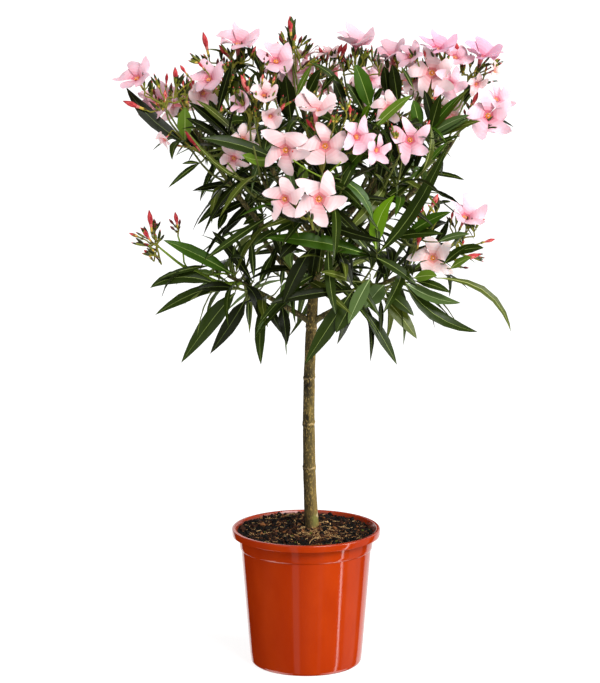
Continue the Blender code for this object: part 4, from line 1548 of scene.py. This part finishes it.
def petalMesh(throat, axis, radial, size, opening, phase, tintStart, bend, skew, twist, broad):
    # a lens-shaped petal, wider and longer on one side, that overlaps the next like a propeller
    shape = bloomShape
    rows, columns = len(shape["halfWidths"]), (-1.0, -0.5, 0.0, 0.5, 1.0)
    tangent = np.cross(axis, radial)
    step = shape["petalLength"] * size / (rows - 1)
    out, lift = shape["throat"] * size, 0.0
    grid = np.zeros((rows, 5, 3))
    for row in range(rows):
        u = row / (rows - 1)
        lean = math.radians(shape["leans"][row] * opening + bend * u)
        half = shape["halfWidths"][row] * size * (1 + (broad - 1) * u)
        if row:
            out += math.sin(lean) * step
            lift += math.cos(lean) * step
        for column, v in enumerate(columns):
            extra = u * u * (skew * v - shape["roundEnd"] * v * v) * shape["petalLength"] * size
            wave = math.sin(5.2 * u + 2.3 * v + phase) + 0.6 * math.sin(3 * phase + 4.5 * v)
            wave = shape["ripple"] * size * wave * u
            pitch = math.sin(shape["pitch"] + twist * u)
            height = lift + wave + pitch * v * half * (0.35 + 0.65 * u) + extra * math.cos(lean)
            cup = shape["cup"] * half * v * v * (1 - 0.5 * u)
            sweep = skew * shape["sweep"] * size * u ** 3
            grid[row, column] = (
                throat + radial * (out + extra * math.sin(lean))
                + tangent * (v * half * 0.97 + sweep) + axis * (height + cup)
            )
    places = list(grid.reshape(-1, 3))
    lower = {}
    for row in range(rows):
        for column in range(5):
            index = row * 5 + column
            if 0 < row < rows - 1 and 0 < column < 4:
                lower[index] = len(places)
                normal = np.cross(
                    grid[row + 1, column] - grid[row - 1, column],
                    grid[row, column + 1] - grid[row, column - 1],
                )
                places.append(grid[row, column] - unit(normal) * shape["thickness"] * size)
            else:
                lower[index] = index
    faces, marks = [], []
    for row in range(rows - 1):
        for column in range(4):
            a = row * 5 + column
            corners = (a, a + 1, a + 6, a + 5)
            faces.append(corners[::-1])
            faces.append(tuple(lower[c] for c in corners))
            marks += [tintStart + row] * 2
    return np.array(places), np.array(faces), np.array(marks)


def addBloom(throat, facing, span, turn, kind, opening=1.0, seed=0):
    rng = random.Random(seed)
    size = span / bloomShape["span"]
    axis = unit(np.array(facing, float))
    first = unit(np.array((1.0, 0, 0)) - axis * axis[0])
    second = np.cross(axis, first)
    tints = petalNumbers
    fringe, gold, pinkTube, baseTube = (tints[n] for n in ("fringe", "gold", "tubePink", "tubeBase"))
    # a bloom that is still a funnel has broader petals that stand more evenly
    funnel = max(0.0, 1 - opening)
    for k in range(bloomShape["petals"]):
        angle = math.radians(turn + 72 * k + rng.uniform(-5, 5))
        radial = first * math.cos(angle) + second * math.sin(angle)
        petalParts.append(petalMesh(
            throat, axis, radial, size * rng.uniform(0.93, 1.06), opening, rng.uniform(0, 6),
            tints[kind + "0"], math.radians(rng.uniform(-26, 24)) * (1 - 1.8 * funnel),
            rng.choice((0.36, 0.32, 0.26, 0.20, -0.14)) * (1 - 1.7 * funnel),
            math.radians(rng.uniform(-24, 30)) * (1 - 1.8 * funnel), 1 + 1.4 * funnel,
        ))
        base = throat + radial * bloomShape["throat"] * size * 0.9
        side = np.cross(axis, radial)
        for shift in (-0.0011, 0.0010):
            foot = base + side * shift * size
            petalParts.append(sliver(
                foot, foot + (axis * 0.0034 + radial * 0.0014 + side * shift * 0.6) * size, side,
                0.0020 * size, 0.0005, fringe,
            ))
    tubeTints = [baseTube, baseTube, pinkTube, pinkTube, tints[kind + "1"], gold, gold, gold]
    petalParts.append(lathe(throat, axis, first, bloomShape["tube"], size, 10, tubeTints))
    petalParts.append(lathe(
        throat, axis, first, bloomShape["stamens"], size, 6, [gold, gold, fringe, fringe],
    ))
    end = throat - axis * bloomShape["tubeLength"] * size
    addSepals(end, axis, bloomShape["sepalLength"] * size)
    bloomSpots.append((throat, axis, 0.5 * span))
    return end


def addSepals(end, axis, length):
    for k in range(bloomShape["petals"]):
        radial = spoke(axis, 2 * math.pi * k / 5)
        budParts.append(sliver(
            end + radial * 0.0011 - axis * 0.0008, end + axis * length + radial * 0.0026,
            np.cross(axis, radial), 0.0018, 0.0005, budNumbers["maroon" if k % 2 else "lime"],
        ))


budKinds = {
    # the tints from the base to the tip, and how thick it is
    "coral": (("lime", "yellow", "salmon", "coral", "coral", "coral", "red"), 1.0),
    "red": (("lime", "salmon", "coral", "red", "red", "red", "red"), 0.9),
    "salmon": (("lime", "yellow", "blush", "salmon", "salmon", "salmon", "coral"), 1.1),
    "yellow": (("lime", "lime", "yellow", "yellow", "salmon", "salmon", "coral"), 0.9),
    "green": (("lime", "lime", "lime", "yellow", "lime", "coral", "coral"), 0.9),
    "dark": (("olive", "olive", "olive", "maroon", "maroon", "maroon", "red"), 1.0),
}


budShape = {
    # stations along the bud and its radius at each
    "stations": (0.0, 0.10, 0.28, 0.42, 0.58, 0.74, 0.88, 1.0),
    "radii": (0.0011, 0.0014, 0.0015, 0.0019, 0.0027, 0.0026, 0.0016, 0.0004),
    "usualLength": 0.024,
    "seamTwist": 2.6,
}
tuftShape = {
    # the same for the small unopened buds, and the tints from which each is drawn
    "stations": (0.0, 0.25, 0.6, 0.85, 1.0),
    "radii": (0.0010, 0.0015, 0.0015, 0.0009, 0.0002),
    "tints": (
        ("olive", "olive", "olive", "maroon", "maroon"), ("lime", "olive", "olive", "olive", "maroon"),
        ("lime", "lime", "olive", "red", "coral"), ("yellow", "lime", "lime", "coral", "red"),
    ),
}


def addBud(base, tip, kind):
    tints, plump = budKinds[kind]
    way = unit(tip - base)
    length = float(np.linalg.norm(tip - base))
    first = across(way)
    stations = budShape["stations"]
    thick = min(1.25, max(0.62, length / budShape["usualLength"])) * plump
    radii = [r * thick for r in budShape["radii"]]
    line = [base + way * length * t + first * 0.03 * length * math.sin(t * 3.1) for t in stations]
    sides = 8 if length > 0.013 else 6
    places, faces, marks = tube(line, radii, sides, [budNumbers[name] for name in tints])
    # the folded petals leave twisted ridges along the bud, with a darker seam and, opposite it, a paler
    # stripe that is a painted highlight, except on the dark buds
    angles = np.arange(sides) * 2 * math.pi / sides
    seamAndHighlightTints = ("maroon", "olive") if kind == "dark" else ("red", "salmon")
    for k in range(3, len(stations) - 1):
        ring = slice(k * sides, (k + 1) * sides)
        swell = 1 + 0.10 * np.cos(2 * (angles - budShape["seamTwist"] * stations[k]))
        places[ring] = line[k] + (places[ring] - line[k]) * swell[:, None]
        marks[k * sides + k % sides] = budNumbers[seamAndHighlightTints[0]]
        marks[k * sides + (k + sides // 2) % sides] = budNumbers[seamAndHighlightTints[1]]
    budParts.append((places, faces, marks))
    addSepals(base + way * 0.0004, way, min(0.0042, length * 0.3))


# flower heads: the shoot that ends in one, how far behind it is, its blooms, tufts of small buds, and buds.
# a bloom: pixels across and down, millimetres across, the way it faces, turn, tint, how open, how much
# deeper it sits; a tuft: pixels across and down, the way it points; a bud: foot and tip in pixels, kind
flowerHeads = {
    "farLeft": (-0.03, [
        (137, 79, 54, (-0.35, -0.62, 0.68), 20, "pink", 0.85),
        (158, 104, 56, (-0.3, -0.75, 0.4), 50, "pink", 0.8, 0.02),
    ], [(145, 90), (160, 89), (176, 88), (186, 92), (170, 98), (152, 97), (180, 100), (162, 112)], [
        (176, 87, 175, 67, "coral"), (166, 87, 167, 73, "red"), (188, 76, 180, 65, "coral"),
        (184, 89, 181, 77, "coral"), (165, 105, 165, 90, "salmon"), (146, 110, 123, 101, "coral"),
        (172, 92, 171, 83, "dark"), (156, 98, 153, 89, "dark"),
    ]),
    "farLeftLow": (-0.05, [(165, 139, 26, (-0.5, -0.5, -0.5), 0, "soft", 0.9)], [], [
        (202, 153, 185, 131, "red"), (186, 147, 175, 145, "green"),
    ]),
    "leftTop": (0.025, [(238, 45, 64, (0.05, -0.38, 0.9), 0, "pink", 0.8)], [
        (202, 64, (-0.8, 0, 0.6)), (209, 66, (-0.5, 0, 0.8)), (222, 62), (232, 57), (244, 57), (253, 60),
        (240, 66), (226, 72),
    ], [
        (209, 57, 203, 32, "coral"), (232, 61, 219, 45, "coral"), (217, 70, 218, 58, "dark"),
        (251, 56, 256, 46, "coral"), (202, 63, 191, 55, "green"), (224, 66, 224, 56, "dark"),
    ]),
    "leftFront": (-0.01, [
        (209, 80, 54, (-0.3, -0.75, 0.6), 10, "pink", 0.85),
        (203, 93, 46, (0.1, -0.85, -0.25), 46, "soft", 0.8, 0.012),
    ], [(226, 74), (230, 84), (205, 72)], [(224, 78, 226, 68, "dark"), (205, 70, 198, 62, "coral")]),
    "leftInner": (-0.09, [
        (264, 96, 42, (0.1, -0.7, 0.6), 0, "soft", 0.65),
        (270, 116, 36, (0.35, -0.8, -0.2), 30, "soft", 0.7),
        (244, 104, 36, (-0.6, -0.7, 0.3), 50, "pink", 0.7),
        (243, 140, 46, (0.3, -0.85, 0.2), 100, "white", 1),
        (234, 158, 44, (-0.3, -0.9, -0.2), 40, "soft", 1),
    ], [
        (236, 98), (243, 106), (256, 104), (268, 106), (280, 108, (0.6, 0, 0.8)), (258, 122), (247, 92),
        (252, 116),
    ], [
        (253, 103, 241, 75, "salmon"), (262, 84, 263, 74, "yellow"), (272, 86, 275, 76, "yellow"),
        (278, 115, 285, 103, "coral"),
    ]),
    "innerTop": (0.0, [(276, 62, 58, (0.12, -0.65, 0.65), 30, "pink", 0.84)], [
        (262, 72), (270, 76), (259, 84), (276, 80),
    ], [(262, 70, 259, 60, "dark"), (268, 62, 267, 52, "dark")]),
    "topBud": (0.02, [], [
        (286, 45, (-0.5, 0, 0.8)), (300, 46, (0.5, 0, 0.8)), (284, 57, (-0.6, 0, 0.7)),
        (304, 56, (0.7, 0, 0.7)), (293, 52), (281, 68, (-0.7, 0, 0.6)), (306, 66, (0.8, 0, 0.6)),
    ], [
        (291, 38, 290, 16, "coral"), (285, 47, 279, 36, "dark"), (297, 48, 302, 36, "dark"),
        (287, 55, 281, 47, "dark"), (300, 58, 307, 48, "dark"), (282, 63, 275, 55, "dark"),
        (301, 68, 310, 60, "dark"), (294, 45, 296, 34, "yellow"),
    ]),
    "topCentre": (0.03, [
        (328, 54, 38, (0.1, -0.3, 0.95), 20, "soft", 1), (307, 72, 34, (-0.4, -0.6, 0.7), 0, "pink", 0.8),
    ], [(322, 64), (330, 62), (340, 64), (316, 70)], [
        (325, 61, 319, 47, "coral"), (339, 61, 347, 43, "coral"), (336, 59, 342, 44, "coral"),
        (334, 61, 335, 52, "dark"),
    ]),
    "topRight": (0.0, [
        (356, 47, 62, (0.05, -0.2, 1.0), 10, "pink", 0.62),
        (369, 80, 38, (0.5, -0.6, 0.6), 60, "pink", 0.8),
    ], [(355, 60), (363, 60), (372, 62), (378, 68), (349, 68), (344, 72)], [
        (352, 62, 350, 53, "dark"), (365, 62, 368, 52, "dark"), (348, 66, 343, 58, "dark"),
    ]),
    "rightBack": (0.05, [(392, 58, 60, (-0.3, -0.3, 0.88), 0, "pink", 0.66)], [
        (398, 66), (406, 66), (388, 70), (412, 72),
    ], [
        (397, 68, 393, 57, "salmon"), (402, 66, 400, 55, "salmon"), (406, 62, 405, 53, "dark"),
        (384, 88, 379, 77, "green"),
    ]),
    "rightHigh": (0.0, [
        (437, 50, 58, (0.1, -0.38, 0.9), 0, "rose", 0.78),
        (411, 57, 44, (-0.5, -0.6, 0.6), 30, "pink", 0.9),
        (432, 73, 66, (-0.1, -1.0, 0.15), 18, "soft", 1),
        (449, 84, 50, (0.3, -0.95, 0.1), 50, "pink", 0.95),
        (414, 79, 46, (-0.3, -0.7, 0.4), 10, "soft", 0.9, 0.015),
        (455, 58, 50, (0.3, -0.5, 0.7), 40, "pink", 0.85, 0.02),
    ], [(424, 70), (436, 60), (444, 66), (418, 62), (410, 84)], [
        (421, 83, 415, 74, "dark"), (426, 60, 424, 50, "coral"),
    ]),
    "rightOuter": (0.03, [
        (481, 58, 62, (0.2, -0.34, 0.9), 0, "rose", 0.66),
        (494, 71, 38, (0.8, -0.5, 0.3), 30, "white", 0.9),
        (476, 84, 32, (0.4, -0.9, -0.1), 0, "soft", 0.9),
    ], [
        (462, 74), (470, 68), (480, 68, (0.7, 0, 0.6)), (490, 68, (0.8, 0, 0.4)),
        (474, 76, (0.6, 0, 0.5)),
    ], [(459, 58, 456, 42, "coral"), (463, 72, 463, 60, "coral"), (484, 76, 487, 66, "green")]),
    "farRight": (-0.02, [
        (488, 116, 66, (0.15, -0.95, 0.22), 15, "pink", 0.9),
        (496, 100, 48, (0.4, -0.6, 0.6), 30, "pink", 0.8, 0.015),
    ], [(472, 112), (480, 128, (0.5, 0, 0.3))], [
        (471, 109, 478, 92, "coral"), (466, 118, 464, 109, "dark"),
    ]),
    "frontRight": (-0.12, [(410, 140, 56, (0.05, -1.0, 0.25), 20, "pink", 1)], [(396, 140), (424, 134)], [
        (396, 141, 394, 132, "red"), (402, 134, 404, 125, "red"), (425, 130, 430, 120, "red"),
    ]),
    "frontRightHigh": (-0.1, [(389, 109, 46, (-0.2, -0.8, 0.5), 0, "soft", 1)], [], [
        (380, 122, 375, 113, "dark"),
    ]),
    "frontHigh": (-0.14, [
        (286, 150, 66, (-0.3, -1.0, 0.05), 52, "soft", 1),
        (325, 146, 64, (0.05, -1.0, 0.1), 90, "soft", 1),
        (316, 112, 66, (0.05, -0.3, 0.95), 20, "soft", 0.8),
        (356, 137, 52, (0.5, -0.8, 0.2), 60, "pink", 0.9),
        (376, 150, 42, (0.6, -0.8, 0.0), 0, "pink", 0.95),
    ], [(308, 127), (334, 124), (346, 112), (350, 124), (300, 160, (-0.5, -0.3, 0.5))], [
        (316, 132, 306, 119, "red"), (328, 126, 335, 115, "coral"), (350, 118, 350, 105, "coral"),
    ]),
    "frontLow": (-0.17, [
        (285, 199, 58, (-0.3, -1.0, 0.0), 78, "soft", 1),
        (319, 199, 70, (0.05, -1.0, 0.1), 50, "soft", 1),
    ], [(301, 216), (312, 224)], [(300, 214, 294, 208, "dark")]),
    "lowRight": (-0.065, [(433, 258, 58, (-0.12, -1.0, 0.18), 20, "white", 0.97)], [
        (428, 222), (420, 226), (436, 214), (414, 240),
    ], [
        (429, 213, 438, 194, "salmon"), (422, 213, 423, 204, "red"), (431, 216, 437, 212, "red"),
        (417, 250, 420, 232, "coral"),
    ]),
    "lowRightOuter": (-0.045, [(465, 218, 58, (0.3, -0.56, 0.8), 0, "pink", 0.74)], [
        (455, 228), (466, 230), (474, 232), (470, 256, (0.6, 0, -0.1)), (462, 244),
    ], [
        (451, 222, 453, 211, "coral"), (481, 243, 495, 239, "coral"), (456, 260, 481, 254, "coral"),
        (460, 267, 469, 268, "dark"), (462, 246, 464, 240, "coral"), (477, 222, 485, 219, "salmon"),
    ]),
    "lowLeft": (-0.03, [], [
        (154, 232), (158, 243), (147, 246, (-0.7, 0, 0.4)), (157, 256, (-0.6, 0, 0.4)),
        (150, 240, (-0.6, 0, 0.6)),
    ], [
        (152, 234, 149, 210, "coral"), (152, 243, 142, 228, "coral"), (143, 239, 129, 233, "green"),
        (155, 231, 155, 223, "dark"), (155, 250, 144, 243, "dark"), (152, 259, 144, 250, "coral"),
        (160, 262, 155, 254, "dark"),
    ]),
    "lowLeftBud": (-0.03, [], [], [
        (178, 229, 175, 212, "coral"), (176, 227, 169, 219, "dark"), (177, 232, 170, 226, "dark"),
        (179, 228, 180, 219, "dark"),
    ]),
}


def addHead(hub, hubWay, stems, seed):
    # stalks to every bloom and bud, in small groups that fork from the hub
    rng = random.Random(seed)
    ends = sorted(stems, key=lambda stem: math.atan2(stem[0][2] - hub[2], stem[0][0] - hub[0]))
    while ends:
        count = min(len(ends), rng.choice((2, 3)))
        group, ends = ends[:count], ends[count:]
        middle = np.mean([end for end, way in group], axis=0)
        gap = float(np.linalg.norm(middle - hub))
        fork = hub + (middle - hub) * 0.5 - up * gap * 0.06
        if gap > 0.012:
            bend = hub + hubWay * gap * 0.22 + (fork - hub) * 0.35
            addStem(smoothLine([hub, bend, fork], 8), (0.0016, 0.0013), "stalk")
        else:
            fork = hub
        for end, way in group:
            reach = float(np.linalg.norm(end - fork))
            near = end - way * min(0.008, reach * 0.35)
            bend = (fork + near) / 2 + hubWay * reach * 0.05
            addStem(smoothLine([fork, bend, near, end], 9), (0.0012, 0.0010), "stalk", 5)


def addTuft(place, way, rng):
    # a bunch of small unopened buds on short stalks
    for k in range(rng.choice((4, 5, 6, 7))):
        spread = spoke(way, rng.uniform(0, 6.28))
        lean = unit(way + spread * rng.uniform(0.1, 0.85))
        foot = place + lean * rng.uniform(0.003, 0.009)
        length = rng.uniform(0.009, 0.017)
        tip = foot + unit(lean + way * 0.4) * length
        if not insideBox(tip):
            continue
        addStem(smoothLine([place, foot], 2), (0.0009, 0.0009), "stalk", 5)
        thick = rng.uniform(1.0, 1.4)
        line = [foot + (tip - foot) * t for t in tuftShape["stations"]]
        radii = [r * thick for r in tuftShape["radii"]]
        tints = [budNumbers[name] for name in rng.choice(tuftShape["tints"])]
        budParts.append(tube(line, radii, 6, tints))


def growHeads():
    # the blooms, buds and tufts of every head, and where their stalks are to end
    headStems = {}
    for name, (behind, blooms, tufts, buds) in flowerHeads.items():
        stems = headStems[name] = []
        for n, (x, y, span, facing, turn, tint, opening, *deeper) in enumerate(blooms):
            throat = inView(x, y, behind + sum(deeper))
            end = addBloom(throat, facing, span / 1000, turn, tint, opening, name + str(n))
            stems.append((end, unit(np.array(facing, float))))
        for x0, y0, x1, y1, kind in buds:
            base, tip = inView(x0, y0, behind), inView(x1, y1, behind - 0.003)
            addBud(base, tip, kind)
            stems.append((base, unit(tip - base)))
        rng = random.Random("tufts" + name)
        for x, y, *way in tufts:
            place = inView(x, y, behind + rng.uniform(-0.012, 0.012))
            way = unit(np.array(way[0] if way else (rng.uniform(-0.3, 0.3), -0.2, 1.0)))
            addTuft(place, way, rng)
            stems.append((place, way))
    return headStems


# stalks that are seen in front of the leaves: where they fork and end
frontStalks = {
    "fork": (321, 177, -0.145),
    "ends": [(293, 160, -0.150), (341, 162, -0.150), (322, 200, -0.125)],
}


def addFrontStalks():
    fork = inView(*frontStalks["fork"])
    for end in frontStalks["ends"]:
        end = inView(*end)
        bend = (end + fork) / 2 - up * 0.0015
        addStem(smoothLine([fork, bend, end], 8), (0.0013, 0.0011), "bright")


def crownShoot(name, end, way, rng):
    # a flower head on a shoot that isn't seen from the front
    stems = []
    size = rng.choice((1, 2, 2, 3))
    for k in range(size):
        spread = spoke(way, rng.uniform(0, 6.28))
        facing = unit(way * 0.9 + spread * (0.7 if size > 1 else 0.2) + up * 0.2)
        throat = end + way * 0.030 + spread * (0.026 if size > 1 else 0.004)
        if not insideBox(throat + facing * 0.01) or inOpening(throat):
            continue
        span, turn = rng.uniform(0.046, 0.060), rng.uniform(0, 72)
        tint = rng.choice(("soft", "soft", "pink", "white"))
        stems.append((addBloom(throat, facing, span, turn, tint, 1, name + str(k)), facing))
    for k in range(rng.choice((4, 5, 6))):
        spread = spoke(way, rng.uniform(0, 6.28))
        lean = unit(way + spread * rng.uniform(0.2, 0.8))
        foot = end + lean * rng.uniform(0.010, 0.020)
        tip = foot + unit(lean + up * 0.3) * rng.choice((0.010, 0.013, 0.019, 0.023))
        if insideBox(tip):
            addBud(foot, tip, rng.choice(("coral", "coral", "red", "dark", "dark", "green")))
            stems.append((foot, unit(tip - foot)))
    for k in range(3):
        spread = spoke(way, rng.uniform(0, 6.28))
        place = end + unit(way + spread * 0.7) * rng.uniform(0.010, 0.020)
        addTuft(place, unit(way + spread * 0.4), rng)
        stems.append((place, way))
    return stems


def growCrown():
    # flower heads on the high shoots at the back, and on one low one
    crown = []
    for mass, ends in shootEnds.items():
        rng = random.Random("crown" + mass)
        for k, end in enumerate(ends):
            if end[1] > 0.06 and (end[2] > 0.75 or mass == "low_back" and k == 2):
                end = np.array(end)
                way = unit(unit(end * (1, 1, 0)) * 0.75 + up * 0.55)
                crown.append((end, way, crownShoot(mass + str(k), end, way, rng)))
    for k, (end, way, stems) in enumerate(crown):
        addHead(end, way, stems, k)


def buildFlowers():
    for name, parts, tints, slot, sharp in (
        ("blossom", petalParts, petalColours, "petal", 70), ("flowerBuds", budParts, budTints, "bud", 50),
    ):
        finishes = [
            unevenFinish(slot + "_" + tint, colour, 0.3, 0.42, 0.62, 300) for tint, colour in tints.items()
        ]
        for finish in finishes if slot == "petal" else []:
            shaderOf(finish).inputs["Subsurface Weight"].default_value = 0.30
            shaderOf(finish).inputs["Subsurface Radius"].default_value = (0.004, 0.002, 0.0015)
        piece = joinedPiece(name, parts, finishes, sharp)
        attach(piece, "root")
        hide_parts(*["foliage_" + mass for mass in masses])
        print(name, "made:", len(piece.data.polygons), "faces")


def buildStems():
    finishes = [
        unevenFinish("stem_" + name, tint, 0.3, 0.45, 0.65, 260) for name, tint in stemTints.items()
    ]
    piece = joinedPiece("greenStems", stemParts, finishes, 60)
    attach(piece, "root")
    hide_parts(*["foliage_" + mass for mass in masses])
    print("stems grown:", len(piece.data.polygons), "faces")


# everything, from the studio up
buildStudio()
buildPot()
scatterCompost(buildSoil())
buildTrunk()
buildBoughs()
# the blossom comes before the leaves, which keep clear of it
stemSpots = {mass: [boughPoint(mass, share) for share in np.linspace(0.3, 1, 30)] for mass in masses}
headStems = growHeads()
growCrown()
lines = {}
for name, (mass, foot, through, *extra) in shoots.items():
    lines[name] = growShoot(name, mass, foot, through, **dict(*extra))
for name, stems in headStems.items():
    addHead(lines[name][-1], unit(lines[name][-1] - lines[name][-3]), stems, name)
addFrontStalks()
growRuleShoots()
placeLeaves()
buildLeaves()
buildStems()
buildFlowers()
